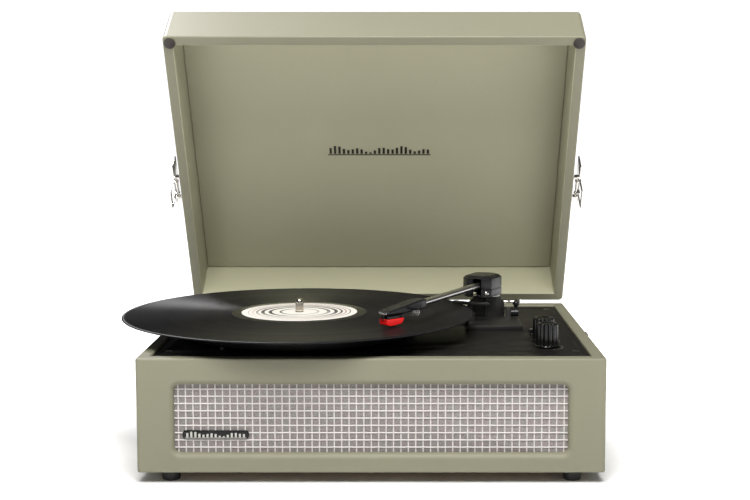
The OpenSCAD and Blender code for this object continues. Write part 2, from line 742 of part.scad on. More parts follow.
module lid_shell()
    color(cover_green) opened() difference() {
        box([left_x, front_y, rim_z], [right_x, back_y, rim_z + lid_h]);
        box([left_x + lid_wall, front_y + lid_wall, rim_z - 1],
            [right_x - lid_wall, back_y - lid_wall, rim_z + lid_h - lid_panel]);
        hinge_notches();
    }

module lid_bumpers()
    color(black) opened() both_sides()
        translate([right_x - 6, front_y + 6.5, case_top]) cylinder(r = 5, h = lid_gap);

// ---- latches ----

module latch_plate()
    latch_frame() difference() {
        union() {
            box([0, -latch_w / 2 + 2, 5], [latch_plate_t, latch_w / 2 - 2, 29]);
            for (side = [-1, 1]) translate([0, side * (ear_a[0] + ear_a[1]) / 2, 0]) {
                width = ear_a[1] - ear_a[0];
                box([0, -width / 2, latch_axis[1] - 2.3], [latch_axis[0], width / 2, latch_axis[1] + 2.3]);
                bar_y(latch_axis[0], latch_axis[1], 2.3, -width / 2, width);
            }
        }
        bar_y(latch_axis[0], latch_axis[1], latch_pin_r + run_gap, -latch_w / 2, latch_w);
        for (side = [-1, 1], z = [18, 25]) bar_x(side * (latch_w / 2 - 6), z, 1.2, -1, 4);
    }

module latch_plates() color(nickel) opened() both_sides() latch_plate();

module latch_lever_shape()
    latch_frame() translate([latch_axis[0], 0, latch_axis[1]]) difference() {
        union() {
            bar_y(0, 0, latch_pin_r, -ear_a[1], 2 * ear_a[1]);
            for (side = [-1, 1]) translate([0, side * (cheek_a[0] + cheek_a[1]) / 2, 0]) {
                width = cheek_a[1] - cheek_a[0];
                bar_y(0, 0, 1.9, -width / 2, width);
                translate([0, width / 2, 0]) rotate([90, 0, 0]) linear_extrude(width)
                    polygon([[-1.9, 0], [0.4, -2.6], [bail_axis[0] + 1.4, bail_axis[1]], [3.9, 5], [2.6, 5]]);
            }
            box([2.6, -latch_w / 2, 3.4], [3.9, latch_w / 2, 22]);
        }
        bar_y(bail_axis[0], bail_axis[1], bail_r + run_gap, -latch_w, 2 * latch_w);
    }

module latch_bail_shape()
    latch_frame() translate([latch_axis[0] + bail_axis[0], 0, latch_axis[1] + bail_axis[1]]) {
        leg_a = (cheek_a[1] + ear_a[0]) / 2;
        for (side = [-1, 1]) {
            translate([0, side * leg_a, -bail_len]) cylinder(r = bail_r, h = bail_len);
            translate([0, side * leg_a, 0]) sphere(r = bail_r);
            translate([0, side * leg_a, -bail_len]) sphere(r = bail_r);
            bar_y(0, 0, bail_r, side > 0 ? cheek_a[0] : -leg_a, leg_a - cheek_a[0]);
        }
        translate([0, 0, -bail_len]) bar_y(0, 0, bail_r, -leg_a, 2 * leg_a);
    }

module left_latch_lever() color(nickel) opened() mirror([1, 0, 0]) latch_lever_shape();

module right_latch_lever() color(nickel) opened() latch_lever_shape();

module left_latch_bail() color(nickel) opened() mirror([1, 0, 0]) latch_bail_shape();

module right_latch_bail() color(nickel) opened() latch_bail_shape();

module latch_catches()
    color(nickel) both_sides() translate([right_x, latch_y, case_top]) difference() {
        union() {
            box([0, -15, -16], [latch_plate_t, 15, -3]);
            box([0, -7, -9], [6.6, 7, -7.8]);
            box([5.4, -7, -12], [6.6, 7, -7.8]);
        }
        for (side = [-1, 1]) bar_x(side * 11, -9.5, 1.2, -1, 4);
    }

case_shell();
bottom_panel();
feet();
foot_screws();
corner_blocks();
grille_cloth();
baffle_board();
grille_badge();
speaker_baskets();
speaker_magnets();
speaker_cones();
deck_plate();
deck_screws();
bearing_bush();
platter();
platter_mat();
spindle();
record();
record_label();
drive_belt();
motor_body();
motor_grommets();
motor_screws();
motor_pulley();
tonearm_base();
tonearm_post();
arm_yoke();
pivot_cap();
pivot_pin();
arm_block();
arm_tube();
headshell();
cartridge();
stylus();
lift_bar();
cue_lever();
knob(knob_ys[0]);  // volume_knob
knob(knob_ys[1]);  // tone_knob
pots();
speed_switch();
speed_slider();
amplifier_board();
jack_plate();
rca_jacks();
aux_jack();
power_jack();
hinge_case_leaves();
hinge_lid_leaves();
hinge_pins();
lid_shell();
lid_bumpers();
latch_plates();
latch_catches();
left_latch_lever();
right_latch_lever();
left_latch_bail();
right_latch_bail();
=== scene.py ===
# Suitcase record player: wrapped wooden case and lid, woven grille, record, tonearm and nickel hardware.
# Every length below is in metres unless a name ends in Mm.
import json
import math

import bmesh
import bpy
from mathutils import Matrix, Vector

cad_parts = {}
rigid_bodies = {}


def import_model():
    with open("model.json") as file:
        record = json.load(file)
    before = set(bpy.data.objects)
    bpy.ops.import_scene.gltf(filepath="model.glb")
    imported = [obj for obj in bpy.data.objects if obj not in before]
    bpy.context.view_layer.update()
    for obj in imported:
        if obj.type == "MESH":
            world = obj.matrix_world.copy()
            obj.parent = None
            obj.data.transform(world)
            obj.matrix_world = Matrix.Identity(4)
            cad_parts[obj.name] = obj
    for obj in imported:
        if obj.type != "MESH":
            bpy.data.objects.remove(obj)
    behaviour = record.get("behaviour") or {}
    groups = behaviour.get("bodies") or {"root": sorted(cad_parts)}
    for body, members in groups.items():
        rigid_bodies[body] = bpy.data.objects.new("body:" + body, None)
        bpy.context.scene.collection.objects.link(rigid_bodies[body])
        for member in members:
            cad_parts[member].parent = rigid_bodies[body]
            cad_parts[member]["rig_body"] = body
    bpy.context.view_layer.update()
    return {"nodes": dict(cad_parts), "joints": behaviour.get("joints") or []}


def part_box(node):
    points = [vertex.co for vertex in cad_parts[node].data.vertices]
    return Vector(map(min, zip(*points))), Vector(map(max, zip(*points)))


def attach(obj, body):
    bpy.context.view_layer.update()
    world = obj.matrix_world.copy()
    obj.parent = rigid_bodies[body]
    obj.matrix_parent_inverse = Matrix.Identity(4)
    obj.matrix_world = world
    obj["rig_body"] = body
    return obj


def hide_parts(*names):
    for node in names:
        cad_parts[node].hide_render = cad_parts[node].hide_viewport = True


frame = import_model()
cadNodes = frame["nodes"]
joints = {j["name"]: j for j in frame["joints"]}
print("frame loaded:", len(cadNodes), "nodes")


def addNode(tree, kind, inputs=None, **settings):
    made = tree.nodes.new(kind)
    for key, value in settings.items():
        setattr(made, key, value)
    for key, value in (inputs or {}).items():
        if isinstance(value, bpy.types.NodeSocket):
            tree.links.new(value, made.inputs[key])
        else:
            made.inputs[key].default_value = value
    return made


def mathNode(tree, operation, a, b=0.0, c=0.0):
    return addNode(tree, "ShaderNodeMath", {0: a, 1: b, 2: c}, operation=operation).outputs[0]


def vectorNode(tree, x=0.0, y=0.0, z=0.0):
    return addNode(tree, "ShaderNodeCombineXYZ", {0: x, 1: y, 2: z}).outputs[0]


def rampNode(tree, factor, stops, interpolation="LINEAR"):
    made = addNode(tree, "ShaderNodeValToRGB", {0: factor})
    ramp = made.color_ramp
    ramp.interpolation = interpolation
    while len(ramp.elements) < len(stops):
        ramp.elements.new(0.5)
    for element, (place, colour) in zip(ramp.elements, stops):
        element.position = place
        element.color = (*colour, 1.0)
    return made.outputs[0]


def newMaterial(name, **sockets):
    material = bpy.data.materials.new(name)
    material.use_nodes = True
    tree = material.node_tree
    shader = tree.nodes["Principled BSDF"]
    for key, value in sockets.items():
        shader.inputs[key.replace("_", " ")].default_value = value
    place = addNode(tree, "ShaderNodeTexCoord").outputs["Object"]
    return material, tree, shader, place


def noiseNode(tree, place, scale, detail=2.0, roughness=0.5):
    made = addNode(tree, "ShaderNodeTexNoise",
                   {"Vector": place, "Scale": scale, "Detail": detail, "Roughness": roughness})
    return made.outputs["Fac"]


def bumpInto(tree, shader, height, distance, strength=1.0, under=None):
    inputs = {"Height": height, "Distance": distance, "Strength": strength}
    if under is not None:
        inputs["Normal"] = under
    made = addNode(tree, "ShaderNodeBump", inputs)
    tree.links.new(made.outputs[0], shader.inputs["Normal"])
    return made.outputs[0]


def varied(tree, factor, low, high):
    return addNode(tree, "ShaderNodeMapRange", {"Value": factor, "To Min": low, "To Max": high}).outputs[0]


def mixed(tree, factor, a, b):
    made = addNode(tree, "ShaderNodeMix", {"Factor": factor}, data_type="RGBA")
    for socket, value in ((6, a), (7, b)):
        if isinstance(value, bpy.types.NodeSocket):
            tree.links.new(value, made.inputs[socket])
        else:
            made.inputs[socket].default_value = (*value, 1.0)
    return made.outputs[2]


finishes = {
    "sage": (0.206, 0.200, 0.140),       # leatherette on the case and the lid
    "sageInsidePaintedLight": (0.385, 0.376, 0.262),  # covering inside the lid: the same sage, painted lighter as painted light for the shaded inside
    "sageLiningPaintedLight": (0.385, 0.373, 0.262),  # lining card inside the lid: the same sage, painted lighter as painted light for the shaded inside
    "deckBlack": (0.012, 0.0115, 0.011),
    "vinylBlack": (0.008, 0.008, 0.009),
    "knobBlack": (0.006, 0.006, 0.006),
    "threadWhite": (0.60, 0.565, 0.555),
    "clothGrey": (0.155, 0.143, 0.14),
    "fleckRose": (0.42, 0.26, 0.28),
    "fleckGreen": (0.26, 0.34, 0.28),
    "stylusRed": (0.80, 0.012, 0.012),
}


def leatherette(name, colour, grain=0.00007, cell=950.0):
    material, tree, shader, place = newMaterial(name, Specular_IOR_Level=0.35)
    blotch = noiseNode(tree, place, 14.0, 3.0)
    fine = noiseNode(tree, place, 420.0, 2.0)
    tone = mathNode(tree, "ADD", mathNode(tree, "MULTIPLY", blotch, 0.7), mathNode(tree, "MULTIPLY", fine, 0.3))
    dark = tuple(c * 0.93 for c in colour)
    light = tuple(min(1.0, c * 1.06) for c in colour)
    tree.links.new(mixed(tree, tone, dark, light), shader.inputs["Base Color"])
    pebbles = addNode(tree, "ShaderNodeTexVoronoi", {"Vector": place, "Scale": cell}, feature="SMOOTH_F1")
    creases = noiseNode(tree, place, cell * 0.45, 3.0, 0.6)
    height = mathNode(tree, "ADD", mathNode(tree, "MULTIPLY", pebbles.outputs["Distance"], -0.7), creases)
    tree.links.new(varied(tree, fine, 0.46, 0.62), shader.inputs["Roughness"])
    bumpInto(tree, shader, height, grain, 0.8)
    return material


def plainPlastic(name, colour, roughness, grain=0.00002, scale=1400.0, swing=0.08, **sockets):
    material, tree, shader, place = newMaterial(name, **sockets)
    fine = noiseNode(tree, place, scale, 2.0)
    smudge = noiseNode(tree, place, 32.0, 3.0)
    dark = tuple(c * 0.85 for c in colour)
    light = tuple(min(1.0, c * 1.2) for c in colour)
    tree.links.new(mixed(tree, smudge, dark, light), shader.inputs["Base Color"])
    tree.links.new(varied(tree, smudge, roughness - swing, roughness + swing), shader.inputs["Roughness"])
    bumpInto(tree, shader, fine, grain, 0.6)
    return material


def metal(name, colour, roughness, brushed=None, swing=0.06):
    material, tree, shader, place = newMaterial(name, Metallic=1.0)
    if brushed:
        place = addNode(tree, "ShaderNodeMapping", {"Vector": place, "Scale": brushed}).outputs[0]
    fine = noiseNode(tree, place, 900.0, 3.0)
    smudge = noiseNode(tree, place, 60.0, 2.0)
    tree.links.new(mixed(tree, smudge, tuple(c * 0.9 for c in colour), colour), shader.inputs["Base Color"])
    tree.links.new(varied(tree, fine, roughness - swing, roughness + swing), shader.inputs["Roughness"])
    bumpInto(tree, shader, fine, 0.000006, 0.4)
    return material


def radialPlace(tree, place, centre):
    shifted = addNode(tree, "ShaderNodeVectorMath", {0: place, 1: centre}, operation="SUBTRACT").outputs[0]
    split = addNode(tree, "ShaderNodeSeparateXYZ", {0: shifted})
    flat = vectorNode(tree, x=split.outputs[0], y=split.outputs[1])
    radius = addNode(tree, "ShaderNodeVectorMath", {0: flat}, operation="LENGTH").outputs["Value"]
    return radius, split


def vinyl(name, centre, bands):
    material, tree, shader, place = newMaterial(
        name, Specular_IOR_Level=0.10, Base_Color=(*finishes["vinylBlack"], 1.0), Anisotropic=0.9)
    radius = radialPlace(tree, place, centre)[0]
    along = vectorNode(tree, x=radius)
    grooves = noiseNode(tree, along, bands["grooveScale"], 4.0, 0.75)
    broad = noiseNode(tree, along, bands["trackScale"], 1.0)
    smooth = mathNode(tree, "LESS_THAN", radius, bands["innerGroove"])
    rough = varied(tree, broad, bands["roughLow"], bands["roughHigh"])
    rough = addNode(tree, "ShaderNodeMix", {"Factor": smooth, 2: rough, 3: 0.10}, data_type="FLOAT").outputs[0]
    tree.links.new(rough, shader.inputs["Roughness"])
    # The grooves run round the disc and draw each light out into a streak across them.
    around = addNode(tree, "ShaderNodeTangent", {}, direction_type="RADIAL", axis="Z").outputs[0]
    tree.links.new(around, shader.inputs["Tangent"])
    depth = mathNode(tree, "SUBTRACT", 1.0, mathNode(tree, "MULTIPLY", smooth, 0.9))
    height = mathNode(tree, "MULTIPLY", grooves, depth)
    bumpInto(tree, shader, height, bands["grooveDepth"], 1.0)
    return material


def labelPaper(name, centre):
    material, tree, shader, place = newMaterial(name, Roughness=0.55)
    radius, split = radialPlace(tree, place, centre)
    scaled = mathNode(tree, "MULTIPLY", radius, 1.0 / 0.05)
    white, ink, red = (0.80, 0.77, 0.72), (0.05, 0.045, 0.045), (0.42, 0.22, 0.20)
    rings = rampNode(tree, scaled, [
        (0.0, white), (0.30, white), (0.315, ink), (0.34, ink), (0.35, white), (0.47, white), (0.48, ink),
        (0.53, ink), (0.54, white), (0.60, white), (0.61, ink), (0.66, ink), (0.67, white), (0.71, white),
        (0.72, ink), (0.745, ink), (0.755, white), (0.79, white), (0.80, red), (0.815, red), (0.825, white),
        (0.87, white), (0.875, ink), (0.885, ink), (0.895, white), (1.0, white),
    ], "LINEAR")
    # The rings fade in and out round the label, as a print of sweeping arcs does.
    angle = mathNode(tree, "ARCTAN2", split.outputs[1], split.outputs[0])
    sweep = mathNode(tree, "SINE", mathNode(tree, "ADD", mathNode(tree, "MULTIPLY", angle, 1.0),
                                            mathNode(tree, "MULTIPLY", scaled, 5.0)))
    faded = mixed(tree, varied(tree, sweep, 0.0, 0.5), rings, white)
    fibres = noiseNode(tree, place, 900.0, 3.0)
    tree.links.new(faded, shader.inputs["Base Color"])
    bumpInto(tree, shader, fibres, 0.00002, 0.4)
    return material


def grilleBacking(name):
    material, tree, shader, place = newMaterial(name, Roughness=0.6, Specular_IOR_Level=0.4)
    weave = addNode(tree, "ShaderNodeTexVoronoi", {"Vector": place, "Scale": 1500.0}, feature="F1")
    glint = noiseNode(tree, place, 700.0, 2.0)
    light, dark = (tuple(c * share for c in finishes["clothGrey"]) for share in (1.9, 0.6))
    base = mixed(tree, weave.outputs["Distance"], light, dark)
    amount = varied(tree, glint, -0.3, 0.9)
    flecks = mixed(tree, noiseNode(tree, place, 260.0, 1.0), finishes["fleckRose"], finishes["fleckGreen"])
    tinted = mixed(tree, amount, base, flecks)
    tree.links.new(tinted, shader.inputs["Base Color"])
    bumpInto(tree, shader, weave.outputs["Distance"], 0.0002, 0.8)
    return material


def threadWhite(name):
    material, tree, shader, place = newMaterial(name, Roughness=0.7, Specular_IOR_Level=0.3)
    strands = addNode(tree, "ShaderNodeTexWave", {
        "Vector": place, "Scale": 420.0, "Distortion": 1.5, "Detail": 1.0}, bands_direction="DIAGONAL")
    fluff = noiseNode(tree, place, 300.0, 2.0)
    white = finishes["threadWhite"]
    tree.links.new(mixed(tree, fluff, tuple(c * 0.88 for c in white), white), shader.inputs["Base Color"])
    bumpInto(tree, shader, strands.outputs["Fac"], 0.00008, 0.6)
    return material


spindleCentre = Vector(joints["platter_spin"]["pos_m"])
looks = {
    "cover": leatherette("leatherette", finishes["sage"]),
    # The inside covering and the lining are lighter copies of the sage leatherette: painted light for the lid's shaded
    # inside.
    "inside": leatherette("insideLeatherettePaintedLight", finishes["sageInsidePaintedLight"]),
    "lining": leatherette("liningPaperPaintedLight", finishes["sageLiningPaintedLight"], 0.00004, 1500.0),
    "board": plainPlastic("fibreboard", (0.30, 0.20, 0.11), 0.75, 0.0001, 500.0),
    "black_plastic": plainPlastic("satinBlack", finishes["deckBlack"], 0.38),
    "deckTop": plainPlastic("deckPlate", (0.010, 0.009, 0.0085), 0.48, 0.00003, 2200.0, 0.05,
                            Specular_IOR_Level=0.14),
    "gloss_black": plainPlastic("glossBlack", finishes["knobBlack"], 0.14, 0.000004, 300.0, 0.05,
                                Specular_IOR_Level=0.3),
    "capBlack": plainPlastic("pivotCapBlack", (0.009, 0.009, 0.010), 0.27, 0.000004, 300.0, 0.05,
                             Specular_IOR_Level=0.3),
    "rubber": plainPlastic("rubber", (0.014, 0.013, 0.012), 0.62, 0.00005, 900.0),
    "bumper": plainPlastic("bumperRubber", (0.020, 0.015, 0.012), 0.45, 0.00003, 900.0),
    "cloth": grilleBacking("grilleBacking"),
    "thread": threadWhite("grilleThread"),
    "nickel": metal("nickel", (0.62, 0.60, 0.57), 0.20),
    "darkNickel": metal("agedNickel", (0.34, 0.33, 0.32), 0.30),
    "steel": metal("steel", (0.52, 0.51, 0.50), 0.30),
    "aluminium": metal("drawnAluminium", (0.60, 0.59, 0.58), 0.27, (1.0, 1.0, 12.0)),
    "spindleSteel": metal("spindleSteel", (0.66, 0.62, 0.54), 0.16),
    "brass": metal("brass", (0.62, 0.44, 0.17), 0.25),
    "ferrite": plainPlastic("ferrite", (0.03, 0.03, 0.032), 0.6, 0.00006, 700.0),
    "paper": plainPlastic("conePaper", (0.05, 0.048, 0.045), 0.8, 0.0001, 600.0),
    "red_plastic": plainPlastic("stylusRed", finishes["stylusRed"], 0.25, 0.000004, 300.0, 0.05),
    "board_green": plainPlastic("circuitBoard", (0.015, 0.10, 0.03), 0.35, 0.00003, 300.0),
    "ink": plainPlastic("blackInk", (0.010, 0.009, 0.006), 0.35, 0.00001, 600.0, 0.05),
    "print": plainPlastic("whitePrint", (0.42, 0.41, 0.38), 0.5, 0.00001, 600.0, 0.05),
    "vinyl": vinyl("pressedVinyl", spindleCentre, {
        "grooveScale": 2600.0, "trackScale": 95.0, "innerGroove": 0.058, "roughLow": 0.34, "roughHigh": 0.46,
        "grooveDepth": 0.000035}),
    "label": labelPaper("labelPaper", spindleCentre),
}
print("materials made:", len(looks))


def finish(piece, body, replaced=(), sharp=35.0):
    mesh = piece.data
    if sharp is not None:
        mesh.shade_smooth()
        mesh.set_sharp_from_angle(angle=math.radians(sharp))
    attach(piece, body)
    if replaced:
        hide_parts(*replaced)
    return piece


def meshPiece(name, points, faces, material):
    mesh = bpy.data.meshes.new(name)
    mesh.from_pydata([tuple(p) for p in points], [], faces)
    mesh.validate()
    mesh.materials.append(material)
    piece = bpy.data.objects.new(name, mesh)
    bpy.context.scene.collection.objects.link(piece)
    return piece


def fromBmesh(name, bm, material):
    mesh = bpy.data.meshes.new(name)
    bm.to_mesh(mesh)
    bm.free()
    mesh.materials.clear()
    mesh.materials.append(material)
    piece = bpy.data.objects.new(name, mesh)
    bpy.context.scene.collection.objects.link(piece)
    return piece


def bake(piece):
    # Turns the piece's modifiers into its plain mesh.
    view = bpy.context.evaluated_depsgraph_get()
    view.update()
    mesh = bpy.data.meshes.new_from_object(piece.evaluated_get(view), depsgraph=view)
    piece.modifiers.clear()
    old = piece.data
    piece.data = mesh
    mesh.name = piece.name
    bpy.data.meshes.remove(old)
    return piece


def bevelled(piece, width, segments=2, angle=35.0):
    edge = piece.modifiers.new("edge", "BEVEL")
    edge.width = width
    edge.segments = segments
    edge.limit_method = "ANGLE"
    edge.angle_limit = math.radians(angle)
    edge.harden_normals = False
    return bake(piece)


def loftLoops(name, loops, material, closed=False):
    # Bridges rings of equal length; the first and last are capped unless the rings close on themselves.
    count = len(loops[0])
    points = [p for loop in loops for p in loop]
    faces = []
    rows = len(loops)
    for i in range(rows if closed else rows - 1):
        a, b = i * count, (i + 1) % rows * count
        faces += [(a + k, a + (k + 1) % count, b + (k + 1) % count, b + k) for k in range(count)]
    if not closed:
        faces.append(tuple(reversed(range(count))))
        faces.append(tuple((rows - 1) * count + k for k in range(count)))
    piece = meshPiece(name, points, faces, material)
    bm = bmesh.new()
    bm.from_mesh(piece.data)
    bmesh.ops.recalc_face_normals(bm, faces=bm.faces)
    bm.to_mesh(piece.data)
    bm.free()
    return piece


def roundedRing(halfW, halfD, radius, z, steps=6):
    ring = []
    for corner, (sx, sy) in enumerate(((1, 1), (-1, 1), (-1, -1), (1, -1))):
        cx, cy = sx * (halfW - radius), sy * (halfD - radius)
        for k in range(steps + 1):
            a = math.pi / 2 * (corner + k / steps)
            ring.append(Vector((cx + radius * math.cos(a), cy + radius * math.sin(a), z)))
    return ring


def revolve(name, profile, centre, material, segments=96, closed=True):
    # Profile points are (radius, height above centre); points on the axis become poles.
    points, faces, rows = [], [], []
    for radius, height in profile:
        if radius < 1e-7:
            rows.append([len(points)])
            points.append(Vector(centre) + Vector((0, 0, height)))
        else:
            rows.append(list(range(len(points), len(points) + segments)))
            points += [Vector(centre) + Vector((radius * math.cos(2 * math.pi * k / segments),
                                                radius * math.sin(2 * math.pi * k / segments), height))
                       for k in range(segments)]
    pairs = list(zip(rows, rows[1:] + rows[:1])) if closed else list(zip(rows, rows[1:]))
    for a, b in pairs:
        if len(a) == 1 and len(b) == 1:
            continue
        for k in range(segments):
            n = (k + 1) % segments
            if len(a) == 1:
                faces.append((a[0], b[n], b[k]))
            elif len(b) == 1:
                faces.append((a[k], a[n], b[0]))
            else:
                faces.append((a[k], a[n], b[n], b[k]))
    piece = meshPiece(name, points, faces, material)
    bm = bmesh.new()
    bm.from_mesh(piece.data)
    bmesh.ops.recalc_face_normals(bm, faces=bm.faces)
    bm.to_mesh(piece.data)
    bm.free()
    return piece


def boxPiece(name, low, high, material, edge=0.0, segments=2):
    bm = bmesh.new()
    bmesh.ops.create_cube(bm, size=1.0)
    size = Vector(high) - Vector(low)
    for v in bm.verts:
        v.co = Vector(low) + Vector((size[i] * (v.co[i] + 0.5) for i in range(3)))
    piece = fromBmesh(name, bm, material)
    return bevelled(piece, edge, segments) if edge else piece


def cutAway(piece, cutters):
    for cutter in cutters:
        cut = piece.modifiers.new("cut", "BOOLEAN")
        cut.operation = "DIFFERENCE"
        cut.solver = "EXACT"
        cut.object = cutter
    bake(piece)
    for cutter in cutters:
        bpy.data.objects.remove(cutter)
    return piece


def turned(piece, matrix):
    piece.data.transform(matrix)
    return piece


def softCopy(node, material, edge, segments=2, name=None, dissolve=1.0, sharp=32.0):
    # A copy of a CAD node with its flats joined and its sharp edges broken.
    source = cadNodes[node]
    bm = bmesh.new()
    bm.from_mesh(source.data)
    bmesh.ops.remove_doubles(bm, verts=bm.verts, dist=2e-6)
    bmesh.ops.dissolve_limit(bm, angle_limit=math.radians(dissolve), verts=bm.verts, edges=bm.edges)
    piece = fromBmesh(name or node + "Soft", bm, material)
    if edge:
        bevelled(piece, edge, segments)
    return finish(piece, source["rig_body"], (node,), sharp)


def wear(node, material):
    mesh = cadNodes[node].data
    mesh.materials.clear()
    mesh.materials.append(material)


def newGeometryTree(name, inputs):
    tree = bpy.data.node_groups.new(name, "GeometryNodeTree")
    tree.interface.new_socket("Geometry", in_out="INPUT", socket_type="NodeSocketGeometry")
    for label, kind, value in inputs:
        socket = tree.interface.new_socket(label, in_out="INPUT", socket_type="NodeSocket" + kind)
        if value is not None:
            socket.default_value = value
    tree.interface.new_socket("Geometry", in_out="OUTPUT", socket_type="NodeSocketGeometry")
    return tree, tree.nodes.new("NodeGroupInput"), tree.nodes.new("NodeGroupOutput")


def rowNode(tree, count, start, step):
    # A row of points, each one step on from the last.
    return addNode(tree, "GeometryNodeMeshLine", {"Count": count, "Start Location": start, "Offset": step},
                   mode="OFFSET").outputs[0]


def closeTree(tree, result, outNode, materialSocket):
    real = addNode(tree, "GeometryNodeRealizeInstances", {"Geometry": result}).outputs[0]
    dressed = addNode(tree, "GeometryNodeSetMaterial", {"Geometry": real, "Material": materialSocket}).outputs[0]
    tree.links.new(dressed, outNode.inputs[0])


def runTree(name, tree, values, material, points=None):
    mesh = bpy.data.meshes.new(name)
    if points:
        mesh.from_pydata([tuple(p) for p in points], [], [])
    piece = bpy.data.objects.new(name, mesh)
    bpy.context.scene.collection.objects.link(piece)
    return applyTree(piece, tree, values, material)


def applyTree(piece, tree, values, material):
    modifier = piece.modifiers.new("build", "NODES")
    modifier.node_group = tree
    identifiers = {socket.name: socket.identifier for socket in tree.interface.items_tree
                   if socket.item_type == "SOCKET" and socket.in_out == "INPUT"}
    for label, value in {**values, "Material": material}.items():
        modifier[identifiers[label]] = value
    bake(piece)
    return piece


def tidyNormals(piece, angle=35.0):
    # Keeps broad flats flat where they meet small rounded edges.
    piece.data.shade_smooth()
    piece.data.set_sharp_from_angle(angle=math.radians(angle))
    even = piece.modifiers.new("even", "WEIGHTED_NORMAL")
    even.keep_sharp = True
    return bake(piece)


def arc(radius, start, end, steps):
    # Offsets along a quarter bend: (away from the wall, along the wall), both from the bend's centre.
    return [(radius * math.cos(math.radians(start + (end - start) * k / steps)),
             radius * math.sin(math.radians(start + (end - start) * k / steps))) for k in range(steps + 1)]


print("helpers ready")

caseSizes = {
    "sideWall": 0.010, "endWall": 0.012, "corner": 0.0032, "rimSoft": 0.0016, "footSoft": 0.0012,
    "openingWidth": 0.306, "openingHeight": 0.054, "openingZ": 0.051, "openingCorner": 0.005, "openingSoft": 0.0048,
    "recess": 0.006, "rebate": 0.006,
    "jackX": 0.030, "jackZ": 0.047, "jackWidth": 0.098, "jackHeight": 0.024,
}
hingeSizes = {"pinY": 0.1475, "pinZ": 0.0996, "notch": 0.0027, "width": 0.052, "across": 0.115}


def wallRing(low, high, wallX, wallY, fraction, offset, z, corner):
    # One ring of a wall: fraction 0 is its outer face and 1 its inner, offset is further inwards.
    insetX, insetY = fraction * wallX + offset, fraction * wallY + offset
    halfW, halfD = (high[0] - low[0]) / 2 - insetX, (high[1] - low[1]) / 2 - insetY
    return roundedRing(halfW, halfD, max(corner - max(insetX, insetY), 0.0008), z)


def hingeCutters():
    cutters = []
    for side in (-1, 1):
        rings = []
        for x in (-hingeSizes["width"] / 2, hingeSizes["width"] / 2):
            rings.append([Vector((side * hingeSizes["across"] + x,
                                  hingeSizes["pinY"] + hingeSizes["notch"] * math.cos(math.tau * k / 32),
                                  hingeSizes["pinZ"] + hingeSizes["notch"] * math.sin(math.tau * k / 32)))
                          for k in range(32)])
        cutters.append(loftLoops("hingeCutter", rings, None))
    return cutters


def uprightRing(halfW, halfH, corner, centreX, centreZ, y):
    return [Vector((centreX + p.x, y, centreZ + p.y)) for p in roundedRing(halfW, halfH, corner, 0.0)]


def makeCase():
    s = caseSizes
    low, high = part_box("case_shell")
    soft, foot = s["rimSoft"], s["footSoft"]
    profile = [(0, foot * (1 - math.sin(a)), low[2] + foot * (1 - math.cos(a)))
               for a in (0, math.pi / 6, math.pi / 3, math.pi / 2)]
    profile += [(0, soft - u, high[2] - soft + v) for u, v in arc(soft, 0, 90, 4)]
    profile += [(1, u - soft, high[2] - soft + v) for u, v in arc(soft, 90, 0, 4)]
    profile += [(1, 0, low[2])]
    rings = [wallRing(low, high, s["sideWall"], s["endWall"], f, o, z, s["corner"]) for f, o, z in profile]
    wrap = loftLoops("caseWrap", rings, looks["cover"], closed=True)
    front, back = low[1], high[1]
    w, h, c, r = s["openingWidth"] / 2, s["openingHeight"] / 2, s["openingCorner"], s["openingSoft"]
    flare = [(front - 0.001, r + 0.0002)]
    flare += [(front + r - v, r - u) for u, v in arc(r, 90, 0, 8)]
    flare += [(front + s["recess"] + 0.002, 0.0)]
    rings = [uprightRing(w + grow, h + grow, c + grow, 0.0, s["openingZ"], y) for y, grow in flare]
    cutters = [loftLoops("openingCutter", rings, None)]
    e = s["rebate"]
    rings = [uprightRing(w + e, h + e, 0.002, 0.0, s["openingZ"], y)
             for y in (front + s["recess"], front + s["endWall"] + 0.001)]
    cutters.append(loftLoops("rebateCutter", rings, None))
    w, h = s["jackWidth"] / 2, s["jackHeight"] / 2
    rings = [uprightRing(w, h, 0.003, s["jackX"], s["jackZ"], y)
             for y in (back - s["endWall"] - 0.001, back + 0.001)]
    cutters.append(loftLoops("jackCutter", rings, None))
    cutters += hingeCutters()
    cutAway(wrap, cutters)
    tidyNormals(wrap)
    finish(wrap, "case", ("case_shell",), None)


makeCase()
print("case wrapped")

lidSizes = {
    "wall": 0.009, "rim": 0.1002, "height": 0.048, "panel": 0.005, "corner": 0.0040, "edge": 0.0028, "rimSoft": 0.0013,
    "insideSoft": 0.0012, "openAngle": 59.0, "liningGap": 0.0009, "liningThickness": 0.0014, "liningSoft": 0.0005,
}
lidPivot = Vector((0.0, hingeSizes["pinY"], hingeSizes["pinZ"]))
lidTurn = (Matrix.Translation(lidPivot) @ Matrix.Rotation(-math.radians(lidSizes["openAngle"]), 4, "X")
           @ Matrix.Translation(-lidPivot))


